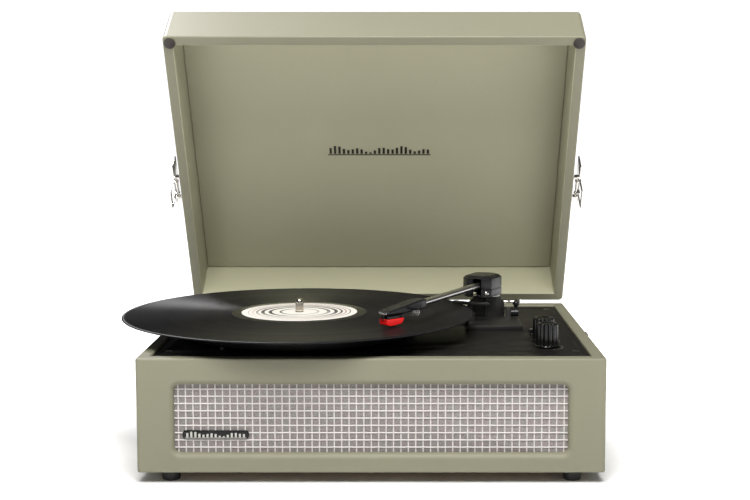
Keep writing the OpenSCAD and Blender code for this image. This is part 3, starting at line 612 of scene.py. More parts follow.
def makeLid():
    s = lidSizes
    low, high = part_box("case_shell")
    top, rim = s["rim"] + s["height"], s["rim"]
    ceiling = top - s["panel"]
    soft, edge, fillet = s["rimSoft"], s["edge"], s["insideSoft"]
    profile = [(1, fillet - u, ceiling - fillet + v) for u, v in arc(fillet, 90, 0, 3)]
    profile += [(1, u - soft, rim + soft - v) for u, v in arc(soft, 0, 90, 4)]
    profile += [(0, soft - u, rim + soft - v) for u, v in arc(soft, 90, 0, 4)]
    profile += [(0, edge - u, top - edge + v) for u, v in arc(edge, 0, 90, 6)]
    rings = [wallRing(low, high, s["wall"], s["wall"], f, o, z, s["corner"]) for f, o, z in profile]
    wrap = loftLoops("lidWrap", rings, looks["cover"])
    cutAway(wrap, hingeCutters())
    # The faces inside the walls take the inner covering, a lighter copy of the leatherette that is painted light for
    # the shaded inside.
    wrap.data.materials.append(looks["inside"])
    for face in wrap.data.polygons:
        middle = face.center
        if (low[0] + s["wall"] * 0.9 < middle.x < high[0] - s["wall"] * 0.9
                and low[1] + s["wall"] * 0.9 < middle.y < high[1] - s["wall"] * 0.9 and middle.z < ceiling + 0.0001):
            face.material_index = 1
    turned(wrap, lidTurn)
    tidyNormals(wrap)
    finish(wrap, "lid", ("lid_shell",), None)
    # The lining is a thin covered card let into the lid; its lighter colour is painted light for the shaded inside.
    gap, soft, thick = s["liningGap"], s["liningSoft"], s["liningThickness"]
    profile = [(1, gap + 0.0002, ceiling)]
    profile += [(1, gap, ceiling - thick + soft)]
    profile += [(1, gap + soft - u, ceiling - thick + soft - v) for u, v in arc(soft, 0, 90, 3)]
    rings = [wallRing(low, high, s["wall"], s["wall"], f, o, z, s["corner"]) for f, o, z in profile]
    card = loftLoops("lidLining", rings, looks["lining"])
    turned(card, lidTurn)
    tidyNormals(card)
    finish(card, "lid", (), None)


makeLid()
print("lid wrapped and lined")

emblemSizes = {"bars": 23, "span": 0.092, "height": 0.0088, "barWidth": 0.0022, "thickness": 0.0004,
               "across": 0.002, "fromFront": 0.142}
badgeSizes = {"bars": 15, "span": 0.044, "height": 0.0046, "barWidth": 0.0016, "thickness": 0.0005,
              "plateLength": 0.052, "plateHeight": 0.007, "plateSoft": 0.0006}


def equaliserTree():
    # A row of upright bars on a base line, their heights following two slow waves.
    tree, group, out = newGeometryTree("equaliserBars", [
        ("Bars", "Int", 20), ("Span", "Float", 0.09), ("Height", "Float", 0.009), ("Bar Width", "Float", 0.002),
        ("Thickness", "Float", 0.0004), ("Material", "Material", None)])
    step = mathNode(tree, "DIVIDE", group.outputs["Span"], mathNode(tree, "SUBTRACT", group.outputs["Bars"], 1.0))
    start = vectorNode(tree, x=mathNode(tree, "MULTIPLY", group.outputs["Span"], -0.5))
    offset = vectorNode(tree, x=step)
    row = rowNode(tree, group.outputs["Bars"], start, offset)
    index = addNode(tree, "GeometryNodeInputIndex").outputs[0]
    waveA = mathNode(tree, "SINE", mathNode(tree, "MULTIPLY", index, 1.25))
    waveB = mathNode(tree, "SINE", mathNode(tree, "ADD", mathNode(tree, "MULTIPLY", index, 0.47), 0.8))
    level = mathNode(tree, "ADD", 0.58, mathNode(tree, "ADD", mathNode(tree, "MULTIPLY", waveA, 0.22),
                                                 mathNode(tree, "MULTIPLY", waveB, 0.20)))
    tall = mathNode(tree, "MULTIPLY", level, group.outputs["Height"])
    size = vectorNode(tree, x=group.outputs["Bar Width"], y=tall, z=group.outputs["Thickness"])
    cube = addNode(tree, "GeometryNodeMeshCube", {"Size": (1.0, 1.0, 1.0)}).outputs[0]
    lifted = addNode(tree, "GeometryNodeTransform", {"Geometry": cube, "Translation": (0.0, 0.5, 0.5)}).outputs[0]
    bars = addNode(tree, "GeometryNodeInstanceOnPoints", {
        "Points": row, "Instance": lifted, "Scale": size}).outputs[0]
    lineLong = mathNode(tree, "ADD", group.outputs["Span"], mathNode(tree, "MULTIPLY", group.outputs["Bar Width"], 2.4))
    lineTall = mathNode(tree, "MULTIPLY", group.outputs["Height"], 0.09)
    lineSize = vectorNode(tree, x=lineLong, y=lineTall, z=group.outputs["Thickness"])
    line = addNode(tree, "GeometryNodeMeshCube", {"Size": lineSize}).outputs[0]
    lineUp = vectorNode(tree, y=mathNode(tree, "MULTIPLY", group.outputs["Height"], -0.12),
        z=mathNode(tree, "MULTIPLY", group.outputs["Thickness"], 0.5))
    line = addNode(tree, "GeometryNodeTransform", {"Geometry": line, "Translation": lineUp}).outputs[0]
    both = addNode(tree, "GeometryNodeJoinGeometry")
    tree.links.new(bars, both.inputs[0])
    tree.links.new(line, both.inputs[0])
    closeTree(tree, both.outputs[0], out, group.outputs["Material"])
    return tree


def makeEmblems():
    tree = equaliserTree()
    s = emblemSizes
    bars = runTree("lidEmblem", tree, {"Bars": s["bars"], "Span": s["span"], "Height": s["height"],
                                       "Bar Width": s["barWidth"], "Thickness": s["thickness"]}, looks["ink"])
    low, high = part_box("case_shell")
    face = lidSizes["rim"] + lidSizes["height"] - lidSizes["panel"] - lidSizes["liningThickness"]
    # Bars stand towards the lid's front edge and stick out of the lining, which faces down when the lid is shut.
    place = Matrix(((1, 0, 0, s["across"]), (0, -1, 0, low[1] + s["fromFront"] + s["height"] / 2),
                    (0, 0, -1, face + 0.0001), (0, 0, 0, 1)))
    turned(bars, lidTurn @ place)
    finish(bars, "lid", (), 20)
    b = badgeSizes
    low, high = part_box("grille_badge")
    centre = (Vector(low) + Vector(high)) / 2
    w, h, r = b["plateLength"] / 2, b["plateHeight"] / 2, b["plateSoft"]
    rings = [uprightRing(w, h, 0.003, centre.x, centre.z, high[1])]
    rings += [uprightRing(w - r + u, h - r + u, 0.003 - r + u, centre.x, centre.z, low[1] + 0.0006 + r - v)
              for u, v in arc(r, 0, 90, 3)]
    plate = loftLoops("badgePlate", rings, looks["gloss_black"])
    finish(plate, "case", ("grille_badge",), 40)
    light = runTree("badgeBars", tree, {"Bars": b["bars"], "Span": b["span"], "Height": b["height"],
                                        "Bar Width": b["barWidth"], "Thickness": b["thickness"]}, looks["print"])
    place = Matrix(((1, 0, 0, centre.x), (0, 0, -1, low[1] + 0.0007),
                    (0, 1, 0, centre.z - b["height"] * 0.42), (0, 0, 0, 1)))
    turned(light, place)
    finish(light, "case", (), 20)


makeEmblems()
print("emblem and badge made")

grilleSizes = {
    "pitch": 0.00577, "threadWidth": 0.00118, "threadDepth": 0.0007, "wave": 0.00022, "columns": 53, "rows": 9,
    "samples": 4, "overlap": 0.006,
}


def threadTree():
    # Raised threads one way across the grille, each a flattened cord that waves over and under the other way's.
    tree, group, out = newGeometryTree("grilleThreads", [
        ("Count", "Int", 10), ("Pitch", "Float", 0.0057), ("Length", "Float", 0.3), ("Samples", "Int", 100),
        ("Width", "Float", 0.0014), ("Depth", "Float", 0.0006), ("Wave", "Float", 0.0002),
        ("Material", "Material", None)])
    half = mathNode(tree, "MULTIPLY", group.outputs["Length"], 0.5)
    a = vectorNode(tree, x=mathNode(tree, "MULTIPLY", half, -1.0))
    b = vectorNode(tree, x=half)
    line = addNode(tree, "GeometryNodeCurvePrimitiveLine", {"Start": a, "End": b}).outputs[0]
    line = addNode(tree, "GeometryNodeResampleCurve", {"Curve": line, "Count": group.outputs["Samples"]})
    ring = addNode(tree, "GeometryNodeCurvePrimitiveCircle", {"Resolution": 8, "Radius": 0.5}).outputs[0]
    cord = addNode(tree, "GeometryNodeCurveToMesh", {
        "Curve": line.outputs[0], "Profile Curve": ring, "Fill Caps": True}).outputs[0]
    flat = vectorNode(tree, x=1.0, y=group.outputs["Depth"], z=group.outputs["Width"])
    cord = addNode(tree, "GeometryNodeTransform", {"Geometry": cord, "Scale": flat}).outputs[0]
    step = vectorNode(tree, z=group.outputs["Pitch"])
    gaps = mathNode(tree, "SUBTRACT", group.outputs["Count"], 1.0)
    span = mathNode(tree, "MULTIPLY", group.outputs["Pitch"], gaps)
    start = vectorNode(tree, z=mathNode(tree, "MULTIPLY", span, -0.5))
    rows = rowNode(tree, group.outputs["Count"], start, step)
    laid = addNode(tree, "GeometryNodeInstanceOnPoints", {"Points": rows, "Instance": cord}).outputs[0]
    real = addNode(tree, "GeometryNodeRealizeInstances", {"Geometry": laid}).outputs[0]
    place = addNode(tree, "ShaderNodeSeparateXYZ", {0: addNode(tree, "GeometryNodeInputPosition").outputs[0]})
    turn = mathNode(tree, "DIVIDE", math.pi, group.outputs["Pitch"])
    waveX = mathNode(tree, "COSINE", mathNode(tree, "MULTIPLY", place.outputs[0], turn))
    nearest = mathNode(tree, "ROUND", mathNode(tree, "DIVIDE", place.outputs[2], group.outputs["Pitch"]))
    waveZ = mathNode(tree, "COSINE", mathNode(tree, "MULTIPLY", nearest, math.pi))
    lift = mathNode(tree, "MULTIPLY", mathNode(tree, "MULTIPLY", waveX, waveZ), group.outputs["Wave"])
    lifted = addNode(tree, "GeometryNodeSetPosition", {
        "Geometry": real, "Offset": vectorNode(tree, y=lift)}).outputs[0]
    closeTree(tree, lifted, out, group.outputs["Material"])
    return tree


def makeGrille():
    s, c = grilleSizes, caseSizes
    low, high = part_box("grille_cloth")
    centre = Vector((0.0, low[1], c["openingZ"]))
    rings = [uprightRing((high[0] - low[0]) / 2 - e, (high[2] - low[2]) / 2 - e, 0.002, 0.0, centre.z, y)
             for y, e in ((low[1] + 0.0006, 0.0), (low[1] + 0.0001, 0.0), (low[1], 0.0001))]
    sheet = loftLoops("grilleCloth", rings, looks["cloth"])
    finish(sheet, "case", ("grille_cloth",), 40)
    tree = threadTree()
    face = low[1] - 0.0002
    common = {"Pitch": s["pitch"], "Width": s["threadWidth"], "Depth": s["threadDepth"]}
    across = runTree("grilleRows", tree, {
        **common, "Count": s["rows"], "Length": c["openingWidth"] + s["overlap"],
        "Samples": (s["columns"] + 1) * s["samples"], "Wave": -s["wave"]}, looks["thread"])
    turned(across, Matrix.Translation((0.0, face - 0.0002, centre.z)))
    finish(across, "case", (), 60)
    upright = runTree("grilleColumns", tree, {
        **common, "Count": s["columns"], "Length": c["openingHeight"] + s["overlap"],
        "Samples": s["rows"] * s["samples"], "Wave": s["wave"], "Width": s["threadWidth"] * 0.88}, looks["thread"])
    turned(upright, Matrix.Translation((0.0, face, centre.z)) @ Matrix.Rotation(math.pi / 2, 4, "Y"))
    finish(upright, "case", (), 60)


makeGrille()
print("grille woven")

recordSizes = {"hole": 0.00362, "bead": 0.00016, "leadIn": 0.1455, "deadWax": 0.060}


def makeRecord():
    s = recordSizes
    low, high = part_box("record")
    radius, thick = (high[0] - low[0]) / 2, high[2] - low[2]
    centre = Vector((spindleCentre.x, spindleCentre.y, low[2]))
    labelR = (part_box("record_label")[1][0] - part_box("record_label")[0][0]) / 2
    hole, bead, top = s["hole"], s["bead"], thick
    profile = [(hole, 0.0), (radius - 0.004, 0.0), (radius - 0.0015, 0.00012), (radius - 0.0004, thick * 0.30),
               (radius, thick * 0.5), (radius - 0.0004, thick * 0.76), (radius - 0.0012, top - 0.0001),
               (radius - 0.0022, top), (radius - 0.0034, top - 0.00004), (s["leadIn"], top - bead),
               (s["leadIn"] - 0.0005, top - bead - 0.00006), (s["deadWax"] + 0.0005, top - bead - 0.00006),
               (s["deadWax"], top - bead), (labelR + 0.0016, top - bead), (labelR + 0.0008, top - 0.00005),
               (labelR + 0.0003, top - 0.00005), (labelR, top - 0.0002), (hole, top - 0.0002)]
    disc = revolve("recordDisc", profile, centre, looks["vinyl"], 256)
    finish(disc, "turntable", ("record",), 30)
    low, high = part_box("record_label")
    thick = high[2] - low[2]
    centre = Vector((spindleCentre.x, spindleCentre.y, low[2]))
    profile = [(hole + 0.0002, 0.0), (labelR - 0.0003, 0.0), (labelR - 0.0002, thick * 0.7), (labelR - 0.0006, thick),
               (0.0165, thick), (0.0160, thick - 0.00006), (0.0155, thick), (hole + 0.0002, thick)]
    label = revolve("recordLabel", profile, centre, looks["label"], 128)
    finish(label, "turntable", ("record_label",), 30)


spindleSizes = {"radius": 0.00355, "neck": 0.0036, "shaft": 0.003,
                "rings": 3, "ringPitch": 0.0012, "ringDeep": 0.00035}


def makeSpindle():
    s = spindleSizes
    low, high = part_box("spindle")
    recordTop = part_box("record")[1][2]
    centre = Vector((spindleCentre.x, spindleCentre.y, 0.0))
    r, neck, shaft, inner = s["radius"], s["neck"], s["shaft"], s["radius"] - s["ringDeep"]
    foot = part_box("platter")[1][2]
    profile = [(0.0, low[2]), (shaft - 0.0006, low[2]), (shaft, low[2] + 0.0006), (shaft, foot), (neck, foot),
               (neck, recordTop + 0.0003), (neck - 0.0002, recordTop + 0.0006), (r - 0.0002, recordTop + 0.0008)]
    # Fine rings turned into the spindle above the record.
    for k in range(s["rings"]):
        z = recordTop + s["ringPitch"] + s["ringPitch"] * k
        profile += [(r, z), (r, z + 0.0006), (inner, z + 0.0008), (inner, z + 0.0010)]
    profile += [(r, recordTop + 0.0050), (r, high[2] - r)]
    profile += [(r * math.cos(a), high[2] - r + r * math.sin(a)) for a in (0.3, 0.6, 0.9, 1.2, 1.4)]
    profile += [(0.0, high[2])]
    pin = revolve("spindlePin", profile, centre, looks["spindleSteel"], 64, closed=False)
    finish(pin, "turntable", ("spindle",), 40)


makeRecord()
makeSpindle()
softCopy("platter", looks["black_plastic"], 0.0004, 2)
softCopy("platter_mat", looks["rubber"], 0.0003, 2)
print("record, platter and spindle made")

armSizes = {"swing": 26.0, "bend": 22.0, "tube": 0.141, "head": 0.036}
armPivot = Vector(joints["arm_tilt"]["pos_m"])
armFrame = Matrix.Translation(armPivot) @ Matrix.Rotation(-math.radians(armSizes["swing"]), 4, "Z")
headFrame = (armFrame @ Matrix.Translation((0.0, -armSizes["tube"], 0.0))
             @ Matrix.Rotation(-math.radians(armSizes["bend"]), 4, "Z"))
turretFrame = (Matrix.Translation((armPivot.x, armPivot.y, 0.0))
               @ Matrix.Rotation(-math.radians(armSizes["swing"]), 4, "Z"))
capSizes = {
    "outlineMm": ((-9.4, -25), (4.6, -25), (11.6, -18), (11.6, 6), (5.6, 12), (-10.4, 12), (-16.4, 6), (-16.4, -18)),
    "middle": (-0.0024, -0.0065), "wall": 0.0016, "chamfer": 0.0022, "panelRise": 0.0006,
    "seam": 0.0060, "seamStep": 0.0004,
    "mouth": 0.008, "mouthFront": -0.031, "mouthBack": -0.015, "mouthRise": 0.0062,
    "stripLeft": -0.0167, "stripRight": -0.0160, "stripFront": -0.0175, "stripBack": 0.0055,
    "stripDrop": 0.0022, "stripTall": 0.0010,
}


def makeCap():
    s = capSizes
    low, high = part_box("pivot_cap")
    middle = s["middle"]

    def ring(scale, z):
        return [Vector((middle[0] + (x / 1000 - middle[0]) * scale, middle[1] + (y / 1000 - middle[1]) * scale, z))
                for x, y in s["outlineMm"]]
    top = high[2] - s["panelRise"]
    shoulder = top - s["chamfer"]
    seam, step = low[2] + s["seam"], s["seamStep"]
    rings = [ring(0.82, top - s["wall"]), ring(0.90, shoulder - 0.0005), ring(0.90, low[2]), ring(1.0, low[2]),
             ring(1.0, seam), ring(0.985, seam + step), ring(0.985, seam + step * 2), ring(1.0, seam + step * 3),
             ring(1.0, shoulder), ring(0.88, top), ring(0.80, top), ring(0.78, high[2])]
    cap = loftLoops("pivotCap", rings, looks["capBlack"])
    half = s["mouth"] / 2
    mouth = boxPiece("mouthCutter", (-half, s["mouthFront"], low[2] - 0.002),
                     (half, s["mouthBack"], armPivot.z + s["mouthRise"]), None)
    cutAway(cap, [mouth])
    bevelled(cap, 0.0003, 2, 30)
    turned(cap, turretFrame)
    finish(cap, "arm_turret", ("pivot_cap",), 14)
    # A bright trim strip lies along the cap's left shoulder.
    stripLow = shoulder - s["stripDrop"]
    strip = boxPiece("capStrip", (s["stripLeft"], s["stripFront"], stripLow),
                     (s["stripRight"], s["stripBack"], stripLow + s["stripTall"]), looks["nickel"], 0.0002)
    turned(strip, turretFrame)
    finish(strip, "arm_turret", (), 30)


def screwTree():
    # Screw heads with a cross recess, set where the points are and turned a little each.
    tree, group, out = newGeometryTree("screwHeads", [
        ("Radius", "Float", 0.0022), ("Height", "Float", 0.0009), ("Seed", "Int", 3),
        ("Material", "Material", None)])
    radius, height = group.outputs["Radius"], group.outputs["Height"]
    head = addNode(tree, "GeometryNodeMeshCylinder", {"Vertices": 24, "Radius": radius, "Depth": height}).outputs[0]
    crown = addNode(tree, "GeometryNodeMeshUVSphere", {"Segments": 24, "Rings": 8, "Radius": radius}).outputs[0]
    lowCrown = addNode(tree, "GeometryNodeTransform", {
        "Geometry": crown,
        "Translation": vectorNode(tree, z=mathNode(tree, "MULTIPLY", height, 0.5)),
        "Scale": (0.995, 0.995, 0.28)}).outputs[0]
    round_ = addNode(tree, "GeometryNodeMeshBoolean", {}, operation="UNION", solver="EXACT")
    tree.links.new(head, round_.inputs[1])
    tree.links.new(lowCrown, round_.inputs[1])
    longSide = mathNode(tree, "MULTIPLY", radius, 1.15)
    thin = mathNode(tree, "MULTIPLY", radius, 0.26)
    barA = addNode(tree, "GeometryNodeMeshCube", {"Size": vectorNode(tree, longSide, thin, height)}).outputs[0]
    barB = addNode(tree, "GeometryNodeMeshCube", {"Size": vectorNode(tree, thin, longSide, height)}).outputs[0]
    cross = addNode(tree, "GeometryNodeMeshBoolean", {}, operation="UNION", solver="EXACT")
    tree.links.new(barA, cross.inputs[1])
    tree.links.new(barB, cross.inputs[1])
    up = vectorNode(tree, z=height)
    cross = addNode(tree, "GeometryNodeTransform", {"Geometry": cross.outputs[0], "Translation": up}).outputs[0]
    cut = addNode(tree, "GeometryNodeMeshBoolean", {"Mesh 1": round_.outputs[0]},
                  operation="DIFFERENCE", solver="EXACT")
    tree.links.new(cross, cut.inputs[1])
    spin = addNode(tree, "FunctionNodeRandomValue", {
        "Min": (0.0, 0.0, 0.0), "Max": (0.0, 0.0, 1.57), "Seed": group.outputs["Seed"]},
        data_type="FLOAT_VECTOR").outputs[0]
    laid = addNode(tree, "GeometryNodeInstanceOnPoints", {
        "Points": group.outputs["Geometry"], "Instance": cut.outputs[0], "Rotation": spin}).outputs[0]
    closeTree(tree, laid, out, group.outputs["Material"])
    return tree


headSizes = {
    # distance forwards, half width, top, bottom
    "stationsMm": ((-1.4, 3.9, 3.5, -3.5), (2.6, 4.8, 4.0, -3.8), (7.0, 6.1, 3.9, -4.0), (14.0, 6.4, 2.7, -4.3),
                 (25.0, 6.4, 0.5, -5.6), (35.0, 6.4, -1.2, -5.6), (40.4, 6.2, -2.2, -5.6), (41.8, 5.6, -2.9, -5.3)),
    "cornerMm": 1.3,
    # sideways, height, tilt in degrees
    "fingerLiftMm": ((5.4, -2.6, 0), (9.0, -2.6, 4), (12.0, -2.3, 12), (14.5, -1.7, 24), (16.4, -0.8, 38)),
    "fingerLiftBackMm": 21.0,
    "cartridgeLow": (-0.0052, -0.0413, -0.0107), "cartridgeHigh": (0.0052, -0.0252, -0.0057),
    "clipMm": ((-4.8, -42.2, -2.7), (4.8, -42.2, -2.7), (4.8, -42.5, -5.2), (2.0, -42.6, -5.4), (2.0, -42.9, -9.0),
               (-2.0, -42.9, -9.0), (-2.0, -42.6, -5.4), (-4.8, -42.5, -5.2)),
    "clipThick": 0.0007,
}


def makeHead():
    s = headSizes
    loops = []
    for along, half, top, bottom in s["stationsMm"]:
        tall, corner = (top - bottom) / 2, min(s["cornerMm"], (top - bottom) / 2.2)
        loops.append([Vector((p.x, -along, p.y + (top + bottom) / 2)) / 1000
                      for p in roundedRing(half, tall, corner, 0.0, 4)])
    shell = loftLoops("headshellBody", loops, looks["capBlack"])
    tidyNormals(shell, 32)
    turned(shell, headFrame)
    finish(shell, "arm", ("headshell",), None)
    # Finger lift: a thin curled tab on the head's right side.
    loops = []
    y = -armSizes["head"] * 1000 + s["fingerLiftBackMm"]
    for k, (x, z, lean) in enumerate(s["fingerLiftMm"]):
        half = 3.0 - 0.25 * k
        ring = roundedRing(half, 0.45, 0.40, 0.0, 3)
        tilt = math.radians(lean)
        loops.append([Vector((x - p.y * math.sin(tilt), y + p.x, z + p.y * math.cos(tilt))) / 1000 for p in ring])
    lift = loftLoops("fingerLift", loops, looks["capBlack"])
    turned(lift, headFrame)
    finish(lift, "arm", (), 40)
    # The cartridge body, then its bright clip.
    body = boxPiece("cartridgeBody", s["cartridgeLow"], s["cartridgeHigh"], looks["gloss_black"], 0.0007, 3)
    turned(body, headFrame)
    finish(body, "arm", ("cartridge",), 35)
    corners = [Vector(p) / 1000 for p in s["clipMm"]]
    clip = meshPiece("cartridgeClip", corners, [tuple(range(len(corners)))], looks["nickel"])
    wall = clip.modifiers.new("wall", "SOLIDIFY")
    wall.thickness, wall.offset = s["clipThick"], 0.0
    bake(clip)
    bevelled(clip, 0.00018, 2, 40)
    turned(clip, headFrame)
    finish(clip, "arm", (), 35)


def pinTree():
    # Short bent pins in a row, each a thin round wire along an arc.
    tree, group, out = newGeometryTree("cartridgePins", [
        ("Count", "Int", 4), ("Spacing", "Float", 0.002), ("Reach", "Float", 0.004), ("Radius", "Float", 0.0003),
        ("Material", "Material", None)])
    reach = group.outputs["Reach"]
    mid = vectorNode(tree, y=reach, z=mathNode(tree, "MULTIPLY", reach, 0.1))
    end = vectorNode(tree, y=mathNode(tree, "MULTIPLY", reach, 0.5), z=reach)
    bend = addNode(tree, "GeometryNodeCurveQuadraticBezier", {
        "Resolution": 8, "Start": (0.0, 0.0, 0.0), "Middle": mid, "End": end}).outputs[0]
    ring = addNode(tree, "GeometryNodeCurvePrimitiveCircle", {
        "Resolution": 8, "Radius": group.outputs["Radius"]}).outputs[0]
    wire = addNode(tree, "GeometryNodeCurveToMesh", {
        "Curve": bend, "Profile Curve": ring, "Fill Caps": True}).outputs[0]
    gaps = mathNode(tree, "SUBTRACT", group.outputs["Count"], 1.0)
    span = mathNode(tree, "MULTIPLY", group.outputs["Spacing"], gaps)
    start = vectorNode(tree, x=mathNode(tree, "MULTIPLY", span, -0.5))
    step = vectorNode(tree, x=group.outputs["Spacing"])
    row = rowNode(tree, group.outputs["Count"], start, step)
    laid = addNode(tree, "GeometryNodeInstanceOnPoints", {"Points": row, "Instance": wire}).outputs[0]
    closeTree(tree, laid, out, group.outputs["Material"])
    return tree


stylusSizes = {
    # distance forwards of the head's end, half width, top, bottom
    "stationsMm": ((-11.4, 5.2, -8.8, -10.6), (-9.0, 5.5, -8.8, -13.4), (-2.0, 5.6, -8.8, -14.2),
                   (3.0, 5.6, -8.8, -14.4), (5.2, 5.3, -8.9, -13.8), (5.8, 4.8, -9.2, -13.0)),
    "cornerMm": 0.5,
    "tip": ((0.0, -0.01515), (0.00012, -0.0150), (0.0005, -0.0144), (0.0005, -0.0140), (0.0, -0.0140)),
}


def makeStylus():
    s = stylusSizes
    head = armSizes["head"] * 1000
    loops = []
    for along, half, top, bottom in s["stationsMm"]:
        tall = (top - bottom) / 2
        ring = roundedRing(half, tall, min(s["cornerMm"], (top - bottom) / 2.3), 0.0, 3)
        loops.append([Vector((p.x, -(head + along), p.y + (top + bottom) / 2)) / 1000 for p in ring])
    grip = loftLoops("stylusGrip", loops, looks["red_plastic"])
    tidyNormals(grip, 34)
    turned(grip, headFrame)
    finish(grip, "arm", ("stylus",), None)
    tip = revolve("stylusTip", s["tip"], (0.0, -armSizes["head"], 0.0), looks["steel"], 24, closed=False)
    turned(tip, headFrame)
    finish(tip, "arm", (), 40)


makeCap()
makeHead()
makeStylus()
pinSizes = {"Count": 4, "Spacing": 0.0024, "Reach": 0.0048, "Radius": 0.00045}
pinsAt = (0.0045, -0.0140, -0.0084)
pins = runTree("cartridgePins", pinTree(), pinSizes, looks["nickel"])
turned(pins, headFrame @ Matrix.Translation(pinsAt))
finish(pins, "arm", (), 50)
for node, look, edge in (
        ("tonearm_base", "black_plastic", 0.0008), ("tonearm_post", "black_plastic", 0.0007),
        ("arm_yoke", "darkNickel", 0.0002), ("arm_block", "black_plastic", 0.0004),
        ("lift_bar", "black_plastic", 0.0005), ("cue_lever", "capBlack", 0.0), ("arm_tube", "aluminium", 0.0)):
    softCopy(node, looks[look], edge)
print("tonearm made")

knobSizes = {"flutes": 14, "core": 0.0079, "lobe": 0.0013, "skirt": 0.0099, "dish": 0.0006, "bore": 0.0040}


def makeKnob(node, body):
    s = knobSizes
    low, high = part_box(node)
    centre = Vector(((low[0] + high[0]) / 2, (low[1] + high[1]) / 2, 0.0))
    count = s["flutes"] * 10

    def ring(core, lobe, z):
        points = []
        for k in range(count):
            a = math.tau * k / count
            r = core + lobe * abs(math.cos(s["flutes"] * a / 2)) ** 0.7
            points.append(centre + Vector((r * math.cos(a), r * math.sin(a), z)))
        return points
    core, lobe, skirt, top = s["core"], s["lobe"], s["skirt"], high[2]
    bottom, floor = low[2], top - s["dish"]
    rings = [ring(s["bore"], 0, bottom), ring(skirt - 0.0006, 0, bottom), ring(skirt, 0, bottom + 0.0005),
             ring(skirt, 0, bottom + 0.0010), ring(skirt - 0.0004, 0, bottom + 0.0015),
             ring(core + 0.0002, lobe, bottom + 0.0018), ring(core, lobe, bottom + 0.0040),
             ring(core - 0.0003, lobe, top - 0.0014), ring(core - 0.0006, lobe * 0.7, top - 0.0005),
             ring(core - 0.0013, lobe * 0.2, top), ring(core - 0.0021, 0, top), ring(core - 0.0027, 0, floor),
             ring(0.0006, 0, top - s["dish"] * 0.8)]
    knob = loftLoops(body + "Knob", rings, looks["gloss_black"])
    tidyNormals(knob, 38)
    finish(knob, body, (node,), None)


def tickTree():
    # Short raised dashes fanned round a point.
    tree, group, out = newGeometryTree("dialTicks", [
        ("Count", "Int", 11), ("Radius", "Float", 0.0135), ("Sweep", "Float", 4.7), ("Length", "Float", 0.0018),
        ("Width", "Float", 0.0004), ("Thickness", "Float", 0.00006), ("Material", "Material", None)])
    row = rowNode(tree, group.outputs["Count"], (0.0, 0.0, 0.0), (0.0, 0.0, 0.0))
    index = addNode(tree, "GeometryNodeInputIndex").outputs[0]
    share = mathNode(tree, "DIVIDE", index, mathNode(tree, "SUBTRACT", group.outputs["Count"], 1.0))
    half = mathNode(tree, "MULTIPLY", group.outputs["Sweep"], 0.5)
    turn = mathNode(tree, "SUBTRACT", mathNode(tree, "MULTIPLY", share, group.outputs["Sweep"]), half)
    angle = mathNode(tree, "ADD", turn, math.pi / 2)
    place = vectorNode(tree, x=mathNode(tree, "MULTIPLY", mathNode(tree, "COSINE", angle), group.outputs["Radius"]),
        y=mathNode(tree, "MULTIPLY", mathNode(tree, "SINE", angle), group.outputs["Radius"]))
    row = addNode(tree, "GeometryNodeSetPosition", {"Geometry": row, "Position": place}).outputs[0]
    size = vectorNode(tree, x=group.outputs["Length"], y=group.outputs["Width"], z=group.outputs["Thickness"])
    dash = addNode(tree, "GeometryNodeMeshCube", {"Size": size}).outputs[0]
    turn = vectorNode(tree, z=angle)
    laid = addNode(tree, "GeometryNodeInstanceOnPoints", {
        "Points": row, "Instance": dash, "Rotation": turn}).outputs[0]
    closeTree(tree, laid, out, group.outputs["Material"])
    return tree


makeKnob("volume_knob", "volume")
makeKnob("tone_knob", "tone")
softCopy("deck_plate", looks["deckTop"], 0.0005)
softCopy("speed_slider", looks["gloss_black"], 0.0004)
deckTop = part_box("deck_plate")[1][2]
dialTicks = tickTree()
tickSizes = {"Count": 9, "Radius": 0.0128, "Sweep": 2.4,
             "Length": 0.0016, "Width": 0.00045, "Thickness": 0.00008}
for name in ("volume", "tone"):
    spot = joints[name + "_turn"]["pos_m"]
    ticks = runTree(name + "Ticks", dialTicks, tickSizes, looks["print"])
    turned(ticks, Matrix.Translation((spot[0], spot[1], deckTop + 0.00003)) @ Matrix.Rotation(-math.pi / 2, 4, "Z"))
    finish(ticks, "case", (), 30)
print("knobs and deck made")

hardware = (
    ("feet", "rubber", 0.0008), ("lid_bumpers", "bumper", 0.0004),
    ("latch_plates", "nickel", 0.0002), ("latch_catches", "darkNickel", 0.0003),
    ("left_latch_lever", "nickel", 0.0003), ("right_latch_lever", "nickel", 0.0003),
    ("left_latch_bail", "nickel", 0.0), ("right_latch_bail", "nickel", 0.0),
    ("hinge_case_leaves", "nickel", 0.0002), ("hinge_lid_leaves", "nickel", 0.0002),
    ("hinge_pins", "nickel", 0.0002), ("jack_plate", "black_plastic", 0.0004), ("rca_jacks", "nickel", 0.0002),
    ("aux_jack", "black_plastic", 0.0002), ("power_jack", "black_plastic", 0.0002),
    ("bottom_panel", "board", 0.0004))
for node, look, edge in hardware:
    softCopy(node, looks[look], edge)
for node, look in (
        ("foot_screws", "steel"), ("corner_blocks", "board"), ("baffle_board", "board"), ("speaker_baskets", "steel"),
        ("speaker_magnets", "ferrite"), ("speaker_cones", "paper"), ("deck_screws", "darkNickel"),
        ("bearing_bush", "brass"),
        ("drive_belt", "rubber"), ("motor_body", "steel"), ("motor_grommets", "rubber"),
        ("motor_screws", "darkNickel"), ("motor_pulley", "brass"),
        ("pivot_pin", "steel"), ("pots", "steel"), ("speed_switch", "steel"), ("amplifier_board", "board_green")):
    wear(node, looks[look])
